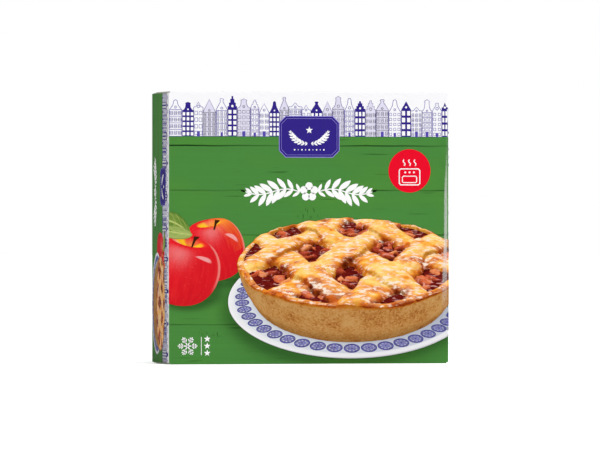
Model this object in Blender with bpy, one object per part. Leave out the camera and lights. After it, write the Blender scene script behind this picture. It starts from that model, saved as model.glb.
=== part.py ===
"""Shut carton of a frozen apple pie, standing upright on its lower closure.

The carton is one folded and glued blank of coated board, so it is one solid.
The front panel faces -Y, +X runs across its width and +Z is up.
The origin is in the middle of the carton's base.
"""

import math

import bmesh
import bpy
from mathutils import Matrix

# Outside of the shut carton, in metres
WIDTH = 0.230
DEPTH = 0.060
HEIGHT = 0.217

# The board and the way it folds
BOARD = 0.0005
FOLD_RADIUS = 0.0009
ARC_STEPS = 6

# Both closures: the outer flap hangs on the front panel and stops short of the
# back, and the flaps are cut back from the side panels
FLAP_SHORT_OF_BACK = 0.0085
FLAP_SHORT_OF_SIDE = 0.0016

# The glued corner: the back panel's cut edge lies beside the right-hand fold
SEAM_SHORT_OF_SIDE = 0.0018

# Cutters run past the board by this much, and doubled points are merged
OVERRUN = 0.005
WELD = 0.00001

# Green of the printed board, as a linear colour
GREEN = (0.073, 0.262, 0.054, 1.0)
BOARD_ROUGHNESS = 0.42

# Turns a flat outline's (x, y, thickness) into the carton's axes
RUNS_UP = Matrix.Identity(4)
RUNS_ACROSS = Matrix(((0, 0, 1, 0), (1, 0, 0, 0), (0, 1, 0, 0), (0, 0, 0, 1)))
RUNS_BACKWARDS = Matrix(((1, 0, 0, 0), (0, 0, -1, 0), (0, 1, 0, 0), (0, 0, 0, 1)))


def clear_scene():
    """Remove whatever the open scene holds."""
    for thing in list(bpy.data.objects):
        bpy.data.objects.remove(thing, do_unlink=True)


def new_collection(name):
    """Add an empty collection to the scene."""
    collection = bpy.data.collections.new(name)
    bpy.context.scene.collection.children.link(collection)
    return collection


def printed_board():
    """Coated board with a satin print on it."""
    material = bpy.data.materials.new("printed_board")
    material.use_nodes = True
    shader = material.node_tree.nodes["Principled BSDF"]
    shader.inputs["Base Color"].default_value = GREEN
    shader.inputs["Roughness"].default_value = BOARD_ROUGHNESS
    shader.inputs["Metallic"].default_value = 0.0
    return material


def fold(centre_x, centre_y, start_degrees):
    """Points of a quarter turn of board round a fold, anticlockwise."""
    points = []
    for step in range(ARC_STEPS + 1):
        angle = math.radians(start_degrees + 90.0 * step / ARC_STEPS)
        x = centre_x + FOLD_RADIUS * math.cos(angle)
        y = centre_y + FOLD_RADIUS * math.sin(angle)
        points.append((x, y))
    return points


def outline_curve(name, outline, length):
    """A flat closed outline, thickened to the length given."""
    curve = bpy.data.curves.new(name, "CURVE")
    curve.dimensions = "2D"
    curve.fill_mode = "BOTH"
    curve.extrude = length / 2
    spline = curve.splines.new("POLY")
    spline.points.add(len(outline) - 1)
    for point, (x, y) in zip(spline.points, outline):
        point.co = (x, y, 0.0, 1.0)
    spline.use_cyclic_u = True
    return bpy.data.objects.new(name, curve)


def prism(name, outline, length, matrix, collection):
    """A closed mesh that runs the outline along one axis of the carton."""
    flat = outline_curve(name + "_outline", outline, length)
    collection.objects.link(flat)
    bpy.context.view_layer.update()
    graph = bpy.context.evaluated_depsgraph_get()
    mesh = bpy.data.meshes.new_from_object(flat.evaluated_get(graph))
    bpy.data.objects.remove(flat, do_unlink=True)
    shape = bmesh.new()
    shape.from_mesh(mesh)
    bmesh.ops.remove_doubles(shape, verts=shape.verts, dist=WELD)
    bmesh.ops.recalc_face_normals(shape, faces=shape.faces)
    bmesh.ops.transform(shape, matrix=matrix, verts=shape.verts)
    shape.to_mesh(mesh)
    shape.free()
    mesh.name = name
    solid = bpy.data.objects.new(name, mesh)
    collection.objects.link(solid)
    return solid


def plan_outline():
    """The wrapped panels seen from above, with the glued corner at the back right."""
    side = WIDTH / 2
    face = DEPTH / 2
    inner_x = side - FOLD_RADIUS
    inner_y = face - FOLD_RADIUS
    points = fold(-inner_x, -inner_y, 180)
    points += fold(inner_x, -inner_y, 270)
    points += fold(inner_x, inner_y - BOARD, 0)
    points += [(side - SEAM_SHORT_OF_SIDE, face - BOARD)]
    points += [(side - SEAM_SHORT_OF_SIDE, face)]
    points += fold(-inner_x, inner_y, 90)
    return points


def front_fold_outline():
    """What is missing outside the fold between front panel and upper flap."""
    face = -DEPTH / 2
    inner_y = face + FOLD_RADIUS
    inner_z = HEIGHT - FOLD_RADIUS
    points = fold(inner_y, inner_z, 90)
    points += [(face - OVERRUN, inner_z)]
    points += [(face - OVERRUN, HEIGHT + OVERRUN)]
    points += [(inner_y, HEIGHT + OVERRUN)]
    return points


def back_fold_outline():
    """What is missing above the inner flap, behind the outer flap's free edge."""
    face = DEPTH / 2
    free_edge = face - FLAP_SHORT_OF_BACK
    inner_y = face - FOLD_RADIUS
    inner_z = HEIGHT - BOARD - FOLD_RADIUS
    points = fold(inner_y, inner_z, 0)
    points += [(free_edge, HEIGHT - BOARD)]
    points += [(free_edge, HEIGHT + OVERRUN)]
    points += [(face + OVERRUN, HEIGHT + OVERRUN)]
    points += [(face + OVERRUN, inner_z)]
    return points


def side_fold_outline():
    """What is missing above the right dust flap, beside the two long flaps."""
    side = WIDTH / 2
    inner_x = side - FOLD_RADIUS
    inner_z = HEIGHT - 2 * BOARD - FOLD_RADIUS
    points = fold(inner_x, inner_z, 0)
    points += [(side - FLAP_SHORT_OF_SIDE, HEIGHT - 2 * BOARD)]
    points += [(side - FLAP_SHORT_OF_SIDE, HEIGHT + OVERRUN)]
    points += [(side + OVERRUN, HEIGHT + OVERRUN)]
    points += [(side + OVERRUN, inner_z)]
    return points


def turned_over(outline):
    """The same outline at the lower closure instead of the upper one."""
    return [(x, HEIGHT - z) for x, z in reversed(outline)]


def other_side(outline):
    """The same outline at the left end instead of the right one."""
    return [(-x, z) for x, z in reversed(outline)]


def make_cutters(collection):
    """One bar for each fold of both closures."""
    across = WIDTH + 2 * OVERRUN
    backwards = DEPTH + 2 * OVERRUN
    bars = []
    for end, place in (("top", list), ("bottom", turned_over)):
        front = place(front_fold_outline())
        back = place(back_fold_outline())
        right = place(side_fold_outline())
        left = place(other_side(side_fold_outline()))
        bars.append(prism(end + "_front_fold", front, across, RUNS_ACROSS, collection))
        bars.append(prism(end + "_back_fold", back, across, RUNS_ACROSS, collection))
        bars.append(prism(end + "_right_fold", right, backwards, RUNS_BACKWARDS, collection))
        bars.append(prism(end + "_left_fold", left, backwards, RUNS_BACKWARDS, collection))
    for bar in bars:
        bar.hide_render = True
        bar.display_type = "WIRE"
    return bars


def make_carton(collection, cutters):
    """The wrapped panels at full height, with the closures' folds cut into them."""
    carton = prism("carton", plan_outline(), HEIGHT, RUNS_UP, collection)
    carton.data.transform(Matrix.Translation((0.0, 0.0, HEIGHT / 2)))
    carton.data.materials.clear()
    carton.data.materials.append(printed_board())
    for cutter in make_cutters(cutters):
        cut = carton.modifiers.new(cutter.name, "BOOLEAN")
        cut.operation = "DIFFERENCE"
        cut.solver = "EXACT"
        cut.object = cutter
    return carton


def main():
    clear_scene()
    parts = new_collection("apple_pie_carton")
    cutters = new_collection("cutters")
    make_carton(parts, cutters)


main()
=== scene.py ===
# %% [markdown]
# # A carton of frozen apple pie
# This notebook dresses a folded board carton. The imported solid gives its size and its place, and
# everything made here is print on that board: painted planks, a row of houses, a pie on its plate.
# The front panel faces -Y, +X runs across it and +Z is up. All lengths are in metres.

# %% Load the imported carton
import math
import random
from contextlib import contextmanager

import bmesh
import bpy
import numpy as np
from mathutils import Matrix, Vector


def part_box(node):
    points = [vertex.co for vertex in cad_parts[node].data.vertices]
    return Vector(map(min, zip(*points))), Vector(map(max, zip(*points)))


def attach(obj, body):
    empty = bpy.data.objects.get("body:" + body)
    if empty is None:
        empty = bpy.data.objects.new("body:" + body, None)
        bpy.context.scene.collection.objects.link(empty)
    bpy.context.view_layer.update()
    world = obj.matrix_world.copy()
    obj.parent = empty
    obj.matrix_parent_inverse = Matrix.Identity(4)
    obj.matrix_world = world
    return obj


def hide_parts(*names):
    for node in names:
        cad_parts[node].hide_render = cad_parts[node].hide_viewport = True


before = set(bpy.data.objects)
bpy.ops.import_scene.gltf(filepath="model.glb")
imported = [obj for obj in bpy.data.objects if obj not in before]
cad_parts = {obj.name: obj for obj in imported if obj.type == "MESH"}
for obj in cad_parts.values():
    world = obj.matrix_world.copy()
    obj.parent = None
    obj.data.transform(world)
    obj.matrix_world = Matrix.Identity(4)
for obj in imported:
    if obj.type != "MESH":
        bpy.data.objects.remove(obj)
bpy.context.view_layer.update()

low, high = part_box("carton")
WIDTH, DEPTH, HEIGHT = (float(size) for size in high - low)
print("carton", [round(size * 1000, 1) for size in (WIDTH, DEPTH, HEIGHT)], "mm")

# %% [markdown]
# ## From the photograph to the board
# The photograph is 600 pixels wide and 450 high. The front panel fills an upright rectangle there,
# so a place in the print is written as a pixel and turned into metres on the panel. A panel is
# measured from its lower left corner: u runs to the right and v runs up.

# %% The front panel in the photograph
FRONT_LEFT, FRONT_RIGHT = 168.5, 448.3
FRONT_TOP, FRONT_BOTTOM = 92.5, 363.2
METRES_ACROSS = WIDTH / (FRONT_RIGHT - FRONT_LEFT)
METRES_UP = HEIGHT / (FRONT_BOTTOM - FRONT_TOP)


def from_photo(px, py):
    """Pixels of the photograph as u and v on the front panel."""
    return (px - FRONT_LEFT) * METRES_ACROSS, (FRONT_BOTTOM - py) * METRES_UP


print("one pixel is", round(METRES_ACROSS * 1000, 3), "mm across")

# %% [markdown]
# ## Camera
# In the photograph the front is almost square to the lens and a narrow strip of the left side
# shows. A long lens far away and a little to the left gives both. The numbers were found by
# matching the corners of the front panel.

# %% Camera
PHOTO_WIDTH = 600
SENSOR = 36.0
LENS_IN_PIXELS = 7487
FARTHEST = 30.0
CAMERA_DISTANCE = 6.0
CAMERA_HEIGHT = 0.1085
CAMERA_ASIDE = 0.00016
CAMERA_TURN = math.radians(13.7)
CAMERA_TILT = math.radians(0.022)


def put_in_scene(name, data):
    """An object for some data, linked to the scene."""
    thing = bpy.data.objects.new(name, data)
    bpy.context.scene.collection.objects.link(thing)
    return thing


def make_camera():
    """The photograph's point of view, with no shift and no blur."""
    lens = bpy.data.cameras.new("camera")
    lens.sensor_width = SENSOR
    lens.lens = SENSOR * LENS_IN_PIXELS / PHOTO_WIDTH
    lens.clip_end = FARTHEST
    camera = put_in_scene("camera", lens)
    camera.location = (
        -CAMERA_DISTANCE * math.sin(CAMERA_TURN) - CAMERA_ASIDE,
        -CAMERA_DISTANCE * math.cos(CAMERA_TURN), CAMERA_HEIGHT)
    camera.rotation_euler = (math.pi / 2 + CAMERA_TILT, 0.0, -CAMERA_TURN)
    bpy.context.scene.camera = camera
    return camera


print("lens", round(make_camera().data.lens), "mm")

# %% [markdown]
# ## Node trees in a few words
# A material is a tree of nodes. The helpers below put a tree on a bench and add one node at a time
# to it. They give back wires, and wires can be added and multiplied like numbers, so that each
# finish further down reads like a recipe.


# %% Helpers for node trees
bench = {}


def open_tree(tree):
    """Put a tree on the bench, where the helpers below add their nodes."""
    bench["tree"] = tree
    return tree


class Wire:
    """A node's output. Reckoning with it adds Math nodes, and [name] is another output."""

    def __init__(self, socket):
        self.socket = socket

    def __getitem__(self, name):
        return Wire(self.socket.node.outputs[name])

    def __abs__(self):
        return reckon("ABSOLUTE", self)


def wires_of(node):
    """All outputs of a node by name."""
    return {socket.name: Wire(socket) for socket in node.outputs}


def feed(node, key, value):
    """Set a node's input to a plain value, or join a wire to it."""
    if isinstance(value, Wire):
        bench["tree"].links.new(value.socket, node.inputs[key])
    else:
        node.inputs[key].default_value = value


def add_node(kind, settings=None, **inputs):
    """A new node's first output. Settings are its menus, and inputs are plain values or wires."""
    node = bench["tree"].nodes.new(kind)
    for name, value in (settings or {}).items():
        setattr(node, name, value)
    for name, value in inputs.items():
        feed(node, int(name[1:]) if name[1:].isdigit() else name.replace("_", " "), value)
    return Wire(node.outputs[0]) if node.outputs else None


def reckon(operation, *values, clamp=False):
    """A Math node's result."""
    inputs = {f"_{place}": value for place, value in enumerate(values)}
    return add_node("ShaderNodeMath", {"operation": operation, "use_clamp": clamp}, **inputs)


SIGNS = {
    "add": "ADD", "sub": "SUBTRACT", "mul": "MULTIPLY", "truediv": "DIVIDE", "pow": "POWER",
    "gt": "GREATER_THAN", "lt": "LESS_THAN",
}
for sign, operation in SIGNS.items():
    setattr(Wire, f"__{sign}__", lambda wire, other, kind=operation: reckon(kind, wire, other))
    setattr(Wire, f"__r{sign}__", lambda wire, other, kind=operation: reckon(kind, other, wire))


def vectors(operation, *values, **more):
    """A Vector Math node's result."""
    more.update({f"_{place}": value for place, value in enumerate(values)})
    result = add_node("ShaderNodeVectorMath", {"operation": operation}, **more)
    return result["Value"] if operation in ("LENGTH", "DOT_PRODUCT") else result


def combined(**parts):
    """A vector made of X, Y and Z."""
    return add_node("ShaderNodeCombineXYZ", **parts)


def parts_of(vector):
    """The X, Y and Z of a vector."""
    split = add_node("ShaderNodeSeparateXYZ", Vector=vector)
    return split["X"], split["Y"], split["Z"]


def noise(place, scale, detail=2.0, roughness=0.5, output="Fac"):
    """A noise pattern read at a place."""
    return add_node(
        "ShaderNodeTexNoise", Vector=place, Scale=scale, Detail=detail, Roughness=roughness)[output]


def stretched_noise(place, stretch, detail=2.0, roughness=0.5):
    """Noise whose grains are drawn out. The stretch has a number for each axis."""
    return noise(vectors("MULTIPLY", place, stretch), 1.0, detail, roughness)


def voronoi(place, scale):
    """A pattern of cells read at a place."""
    return add_node("ShaderNodeTexVoronoi", {"feature": "F1"}, Vector=place, Scale=scale)


def blended(share, first, second, mode="MIX"):
    """Two colours mixed by a share."""
    settings = {"data_type": "RGBA", "blend_type": mode}
    return add_node("ShaderNodeMix", settings, _0=share, _6=first, _7=second)[2]


def rising(value, start, end):
    """0 below start, 1 above end and a smooth rise between; the other way round if end is lower."""
    settings = {"interpolation_type": "SMOOTHSTEP"}
    return add_node("ShaderNodeMapRange", settings, Value=value, From_Min=start, From_Max=end)


def stained(colour, *stains):
    """A colour under stains. Each stain is a share and a colour's red, green and blue."""
    for share, *parts in stains:
        colour = blended(share, colour, ink(*parts))
    return colour


def attribute(name, output="Fac"):
    """A value that the mesh carries."""
    return add_node("ShaderNodeAttribute", {"attribute_name": name})[output]


def on_object():
    """The place on the object."""
    return add_node("ShaderNodeTexCoord")["Object"]


SHEEN = 0.003


def ink(red, green, blue):
    """A colour as seen on screen, 0 to 255, made linear, less the sheen that the varnish adds."""
    def linear(part):
        share = part / 255
        light = share / 12.92 if share <= 0.04045 else ((share + 0.055) / 1.055) ** 2.4
        return max(light - SHEEN, 0.001)
    return linear(red), linear(green), linear(blue), 1.0


# %% [markdown]
# ## Groups for what several finishes share
# A node group is a small tree with named inputs and outputs. Planks are on every side of the
# carton, and every piece of the printed picture is shaded by the same painted light, so each of
# these is made once as a group and placed in each material with its own values.


# %% Helpers for groups
FINISH = bpy.types.Material
SOCKET_KINDS = {
    float: "Float", int: "Int", bool: "Bool", FINISH: "Material", 3: "Vector", 4: "Color"}


def new_group(name, family, inputs, made, takes_geometry=False):
    """Open a group with named sockets. A start value tells a socket's kind. Gives the inputs."""
    tree = open_tree(bpy.data.node_groups.new(name, family + "NodeTree"))
    if takes_geometry:
        tree.interface.new_socket("Geometry", in_out="INPUT", socket_type="NodeSocketGeometry")
    for label, start in inputs.items():
        is_finish = start is FINISH
        kind = len(start) if isinstance(start, tuple) else start if is_finish else type(start)
        kind = SOCKET_KINDS[kind]
        socket = tree.interface.new_socket(label, in_out="INPUT", socket_type="NodeSocket" + kind)
        if not is_finish:
            socket.default_value = start
    label, kind = made
    tree.interface.new_socket(label, in_out="OUTPUT", socket_type="NodeSocket" + kind)
    return wires_of(tree.nodes.new("NodeGroupInput"))


def shader_group(name, inputs):
    """Open a shader group that puts out a colour. Gives its inputs."""
    return new_group(name, "Shader", inputs, ("Colour", "Color"))


def finished_group(colour):
    """The group on the bench, with its colour put out."""
    feed(bench["tree"].nodes.new("NodeGroupOutput"), "Colour", colour)
    return bench["tree"]


def use(group, **inputs):
    """A group placed in the tree on the bench."""
    kind = "ShaderNodeGroup" if group.type == "SHADER" else "GeometryNodeGroup"
    return add_node(kind, {"node_tree": group}, **inputs)


# %% Painted planks group
WHITE = (1.0, 1.0, 1.0, 1.0)
NOWHERE = (0.0, 0.0, 0.0)
DEEP_JOINT = 4.0


def make_planks_group():
    """Green boards with dark joints, grain, small cracks and knots."""
    given = shader_group("painted_planks", {
        "Place": NOWHERE, "Board": 0.0352, "First joint": 0.0313, "Joint width": 0.0009,
        "Deep reach": 0.0})
    x, y, z = parts_of(given["Place"])
    height = y + noise(combined(X=x, Z=z), 40.0) * 0.0012
    boards = (height - given["First joint"]) / given["Board"]
    number = reckon("ROUND", boards)
    gap = abs(boards - number) * given["Board"]
    seat = combined(X=x, Y=number, Z=z)
    depth = rising(stretched_noise(seat, (14.0, 3.7, 1.0), 1.0), 0.3, 0.75)
    deep = rising(x, given["Deep reach"], 0.0) * (abs(number - DEEP_JOINT) < 0.5)
    depth = reckon("MAXIMUM", depth, deep * 1.2)
    joint = rising(gap / given["Joint width"], 1.0, 0.15) * (depth * 0.75 + 0.25)

    row = combined(X=x, Y=height, Z=reckon("FLOOR", boards))
    grain = stretched_noise(row, (9.0, 330.0, 5.0), 3.0, 0.6)
    broad = stretched_noise(row, (10.0, 24.0, 9.0))
    pores = rising(stretched_noise(row, (60.0, 900.0, 5.0), 1.0), 0.66, 0.82)
    cracks = rising(stretched_noise(row, (26.0, 420.0, 7.0), 0.0), 0.74, 0.86)
    knots = voronoi(vectors("MULTIPLY", row, (17.0, 30.0, 3.3)), 1.0)
    rare = add_node("ShaderNodeSeparateColor", Color=knots["Color"]) > 0.8
    rings = reckon("SINE", knots["Distance"] * 70.0) * 0.3 + 0.7
    knot = rising(knots["Distance"], 0.17, 0.03) * rings * rare

    colour = blended(rising(broad, 0.42, 0.78), ink(76, 136, 65), ink(81, 140, 59))
    colour = blended(1.0, colour, grain * 0.16 + 0.92, "MULTIPLY")
    dark = 22, 44, 22
    return finished_group(stained(
        colour, (pores * 0.16, *dark), (cracks * 0.42, *dark), (knot * 0.5, *dark),
        (joint * 0.88, *dark)))


planks_group = make_planks_group()
print("planks group", len(planks_group.nodes), "nodes")


# %% Soft shadow and saw marks groups
OVAL = {"Colour": WHITE, "Place": NOWHERE, "Centre": NOWHERE, "Radii": (1.0, 1.0, 1.0)}


def from_middle(given):
    """How far a place is from the middle of an oval. The oval's edge is at 1."""
    away = vectors("SUBTRACT", given["Place"], given["Centre"])
    return vectors("LENGTH", vectors("DIVIDE", away, given["Radii"]))


def make_shadow_group():
    """A soft oval shadow, printed under the things that stand on the planks."""
    given = shader_group("soft_shadow", {**OVAL, "Softness": 0.3, "Strength": 0.5})
    inside = add_node(
        "ShaderNodeMapRange", {"interpolation_type": "SMOOTHERSTEP"}, Value=from_middle(given),
        From_Min=given["Softness"] + 1.0, From_Max=1.0 - given["Softness"])
    return finished_group(stained(given["Colour"], (inside * given["Strength"], 10, 30, 12)))


def make_marks_group():
    """A patch of short dark ticks across the grain, as a blunt saw leaves them."""
    given = shader_group("saw_marks", OVAL)
    inside = rising(from_middle(given), 1.1, 0.5)
    ticks = rising(stretched_noise(given["Place"], (760.0, 150.0, 1.0), 2.0, 0.7), 0.55, 0.70)
    return finished_group(stained(given["Colour"], (ticks * inside * 0.62, 24, 48, 24)))


shadow_group = make_shadow_group()
marks_group = make_marks_group()


# %% Fold wear group
def make_wear_group():
    """The print rubbed thin along the folds, where the white board shows through in specks."""
    given = shader_group("fold_wear", {"Colour": WHITE, "Amount": 0.5})
    point = on_object()
    x, y, z = parts_of(point)
    to_side, to_face = WIDTH / 2 - abs(x), DEPTH / 2 - abs(y)
    to_end = reckon("MINIMUM", z, HEIGHT - z)
    nearer = reckon("MINIMUM", to_side, to_face)
    farther = reckon("MAXIMUM", to_side, to_face)
    near = reckon("MAXIMUM", nearer, reckon("MINIMUM", farther, to_end))
    specks = rising(noise(point, 1400.0, 3.0, 0.7), 0.45, 0.75)
    worn = rising(near, 0.0011, 0.0001) * specks * given["Amount"]
    return finished_group(stained(given["Colour"], (worn, 222, 226, 220)))


wear_group = make_wear_group()

# %% [markdown]
# ## Inks and board
# The carton is one board with one varnish over the print, so every finish here has the same soft
# gloss and differs only in its colour. The Principled shader stays in each material, and the
# groups feed its Base Color.


# %% Base of every printed finish
VARNISH_ROUGHNESS = 0.5
VARNISH_LEVEL = 0.012
MOTTLE_SCALE = 900.0
FOLD_WEAR = 0.15


def varnished(name):
    """A material with the carton's varnish, put on the bench. Gives it and its shader."""
    material = bpy.data.materials.new(name)
    material.use_nodes = True
    shader = open_tree(material.node_tree).nodes["Principled BSDF"]
    feed(shader, "Roughness", VARNISH_ROUGHNESS)
    feed(shader, "Specular IOR Level", VARNISH_LEVEL)
    return material, shader


def printed(name, make_colour):
    """A finish whose colour is worked out by a function that adds nodes."""
    material, shader = varnished(name)
    feed(shader, "Base Color", make_colour())
    return material


def flat_ink(name, red, green, blue, mottle):
    """One colour of ink, with the slight unevenness of print on board."""
    def colour():
        shade = noise(on_object(), MOTTLE_SCALE) * mottle + (1.0 - mottle / 2)
        return blended(1.0, ink(red, green, blue), shade, "MULTIPLY")
    return printed(name, colour)


def planks_ink(name, board, first_joint, joint_width, seed, shadows=(), marks=(), deep=0.0):
    """Printed planks, with the saw marks in them and the shadows of what is printed on them."""
    def colour():
        place = attribute("sheet", "Vector")
        planks = use(
            planks_group, Place=vectors("ADD", place, (0.0, 0.0, seed)), Board=board,
            First_joint=first_joint, Joint_width=joint_width, Deep_reach=deep)
        for centre, radii in marks:
            planks = use(
                marks_group, Colour=planks, Place=place, Centre=(*centre, 0.0),
                Radii=(*radii, 1.0))
        for centre, radii, softness, strength in shadows:
            planks = use(
                shadow_group, Colour=planks, Place=place, Centre=(*centre, 0.0),
                Radii=(*radii, 1.0), Softness=softness, Strength=strength)
        return use(wear_group, Colour=planks, Amount=FOLD_WEAR)
    return printed(name, colour)


# %% Flat inks
white_board = flat_ink("white_board", 249, 249, 252, 0.02)
raw_board = flat_ink("raw_board", 226, 221, 210, 0.14)
line_blue = flat_ink("line_blue", 90, 80, 172, 0.1)
wash_blue = flat_ink("wash_blue", 226, 223, 243, 0.06)
dark_blue = flat_ink("dark_blue", 54, 42, 134, 0.06)
pale_blue = flat_ink("pale_blue", 150, 142, 214, 0.06)
paper_white = flat_ink("paper_white", 253, 253, 253, 0.02)
signal_red = flat_ink("signal_red", 236, 22, 46, 0.04)
print_grey = flat_ink("print_grey", 150, 152, 158, 0.08)
print("flat inks ready")

# %% [markdown]
# ## The board
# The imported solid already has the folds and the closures, so the board starts as a copy of it. The
# copy is merged, cut along the edges of the printed fields, and each face is told where it lies on
# the unfolded sheet. That place is stored on the face's corners as the attribute sheet.

# %% Sizes of the folded board
FOLD_RADIUS = 0.0009
FLAP_SHORT_OF_BACK = 0.0085
FLAP_SHORT_OF_SIDE = 0.0016
SEAM_SHORT_OF_SIDE = 0.0018
CLOSURE = 0.0015
WELD = 0.000001
BAND_LOW = from_photo(0, 137.0)[1]
SIDE_BAND = 0.021
SIDE_SCALE = SIDE_BAND / (HEIGHT - BAND_LOW)
FRONT_BOARDS = (0.0356, 0.0322, 0.0009)
SIDE_BOARDS = (0.0160, 0.0075, 0.0008)
FLAP_BOARDS = (0.0290, 0.0150, 0.0008)

# %% Planks for each side of the carton
FRONT_SHADOWS = (
    (from_photo(346, 307), (0.1035, 0.0475), 0.10, 0.38),
    (from_photo(350, 318), (0.1010, 0.0480), 0.16, 0.20),
    (from_photo(188, 292), (0.0275, 0.0145), 0.28, 0.52),
    (from_photo(222, 269), (0.0215, 0.0150), 0.30, 0.48),
)
FRONT_MARKS = (
    (from_photo(308, 214), (0.0135, 0.0060)),
    (from_photo(212, 332), (0.0140, 0.0055)),
)
board_inks = [
    planks_ink("front_planks", *FRONT_BOARDS, 0.0, FRONT_SHADOWS, FRONT_MARKS, 0.11),
    planks_ink("back_planks", *FRONT_BOARDS, 3.0), planks_ink("side_planks", *SIDE_BOARDS, 7.0),
    planks_ink("flap_planks", *FLAP_BOARDS, 11.0), white_board, raw_board]


# %% Where a face lies on the sheet
def panel_of(normal):
    """The panel a face belongs to. The front's print runs further round the right fold."""
    x, y, z = (abs(part) for part in normal)
    if normal.y < (-0.25 if normal.x > 0.1 else -0.8):
        return "front"
    if normal.y > 0 and y >= max(x, z):
        return "back"
    if x >= z:
        return "left" if normal.x < 0 else "right"
    return "top" if normal.z > 0 else "bottom"


def sheet_place(point, normal):
    """Place on the printed sheet of a point of the panel that faces along the normal."""
    x, y, z = point
    across, aside = x + WIDTH / 2, DEPTH / 2 - y
    return {
        "front": (across, z, 0.0), "back": (WIDTH - across, z, 1.0),
        "left": (HEIGHT - z, aside, 2.0), "right": (z, aside, 3.0),
        "top": (across, DEPTH - aside, 4.0), "bottom": (across, DEPTH - aside, 5.0),
    }[panel_of(normal)]


# %% Which print a face carries
def print_of(centre, normal):
    """The finish of a face, by where it is and which way it faces."""
    ends = abs(centre.x) < WIDTH / 2 - FLAP_SHORT_OF_SIDE + 0.0001 and abs(normal.x) > 0.9
    in_closure = not CLOSURE < centre.z < HEIGHT - CLOSURE
    free_edge = normal.y > 0.9 and centre.y < DEPTH / 2 - FLAP_SHORT_OF_BACK + 0.001
    seam = normal.x > 0.9 and centre.x < WIDTH / 2 - SEAM_SHORT_OF_SIDE + 0.0003
    if (ends and in_closure) or free_edge or seam:
        return "raw_board"
    panel = panel_of(normal)
    if panel in ("front", "back"):
        return "white_board" if centre.z > BAND_LOW else panel + "_planks"
    if panel in ("left", "right"):
        return "white_board" if centre.y < SIDE_BAND - DEPTH / 2 else "side_planks"
    if panel == "top" and centre.y < SIDE_BAND / 2 - DEPTH / 2:
        return "white_board"
    return "flap_planks"


# %% Opening a mesh for editing
@contextmanager
def editing(mesh):
    """A mesh opened for editing, and written back afterwards."""
    shape = bmesh.new()
    shape.from_mesh(mesh)
    yield shape
    shape.to_mesh(mesh)
    shape.free()


def cut_along(shape, place, direction, **more):
    """Cut every face that a plane crosses."""
    parts = shape.verts[:] + shape.edges[:] + shape.faces[:]
    return bmesh.ops.bisect_plane(
        shape, geom=parts, plane_co=place, plane_no=direction, **more)


# %% Make the board
def make_board():
    """The carton's outside, with its finishes and its place on the sheet."""
    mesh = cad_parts["carton"].data.copy()
    mesh.materials.clear()
    for finish in board_inks:
        mesh.materials.append(finish)
    names = [finish.name for finish in board_inks]
    with editing(mesh) as shape:
        bmesh.ops.remove_doubles(shape, verts=shape.verts, dist=WELD)
        bmesh.ops.dissolve_limit(
            shape, angle_limit=math.radians(1), verts=shape.verts, edges=shape.edges)
        cut_along(shape, (0, 0, BAND_LOW), (0, 0, 1))
        for depth in (SIDE_BAND, SIDE_BAND / 2):
            cut_along(shape, (0, depth - DEPTH / 2, 0), (0, 1, 0))
        sheet = shape.loops.layers.float_vector.new("sheet")
        for face in shape.faces:
            face.smooth = True
            face.material_index = names.index(print_of(face.calc_center_median(), face.normal))
            for corner in face.loops:
                corner[sheet] = sheet_place(corner.vert.co, face.normal)
    mesh.set_sharp_from_angle(angle=math.radians(40))
    board = put_in_scene("folded_board", mesh)
    even = board.modifiers.new("even_normals", "WEIGHTED_NORMAL")
    even.keep_sharp = True
    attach(board, "root")
    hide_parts("carton")
    return board


board = make_board()
print("board", len(board.data.polygons), "faces")

# %% [markdown]
# ## Flat drawings
# Houses, ornaments and signs are printed in flat ink. Each is drawn on a sheet of its own, with x
# to the right, y up and the ink's thickness along z, and is then laid on a panel. Ink this thin is
# far thicker here than on real board, so that it never sinks into the panel, and still thinner
# than a sheet of paper.


# %% Laying a drawing on a panel
def on_front(u, v, lift):
    """The front panel, bent round the two folds beside it."""
    flat = WIDTH / 2 - FOLD_RADIUS
    x = np.asarray(u, float) - WIDTH / 2
    beyond = np.clip(np.abs(x) - flat, 0.0, None) / FOLD_RADIUS
    reach = FOLD_RADIUS + lift
    bent = np.sign(x) * (np.minimum(np.abs(x), flat) + reach * np.sin(beyond))
    return bent, FOLD_RADIUS - DEPTH / 2 - reach * np.cos(beyond), v


def on_back(u, v, lift):
    return WIDTH / 2 - u, DEPTH / 2 + lift, v


def on_left(u, v, lift):
    return -WIDTH / 2 - lift, DEPTH / 2 - v, HEIGHT - u


def on_right(u, v, lift):
    return WIDTH / 2 + lift, DEPTH / 2 - v, u


def on_top(u, v, lift):
    return u - WIDTH / 2, v - DEPTH / 2, HEIGHT + lift


def on_bottom(u, v, lift):
    return u - WIDTH / 2, DEPTH / 2 - v, -lift


# %% Reading and writing a mesh's points
def points_of(mesh, source=None, key="co"):
    """A mesh's points, or other vectors of it, as rows of x, y, z."""
    flat = np.empty(len(mesh.vertices) * 3, np.float32)
    (source or mesh.vertices).foreach_get(key, flat)
    return flat.reshape(-1, 3).astype(float)


def with_points(mesh, points):
    """The mesh with new places for its points."""
    mesh.vertices.foreach_set("co", np.asarray(points, np.float32).ravel())
    mesh.update()
    return mesh


def placed(mesh, x=0.0, y=0.0, z=0.0, scale=1.0):
    """A drawing moved, and made larger or smaller in its plane."""
    return with_points(mesh, points_of(mesh) * (scale, scale, 1.0) + (x, y, z))


def store(mesh, **values):
    """Keep values or vectors for each point of a mesh."""
    for name, value in values.items():
        value = np.asarray(value, np.float32)
        kind, key = ("FLOAT", "value") if value.ndim == 1 else ("FLOAT_VECTOR", "vector")
        layer = mesh.attributes.new(name, kind, "POINT")
        layer.data.foreach_set(key, value.ravel())


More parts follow.
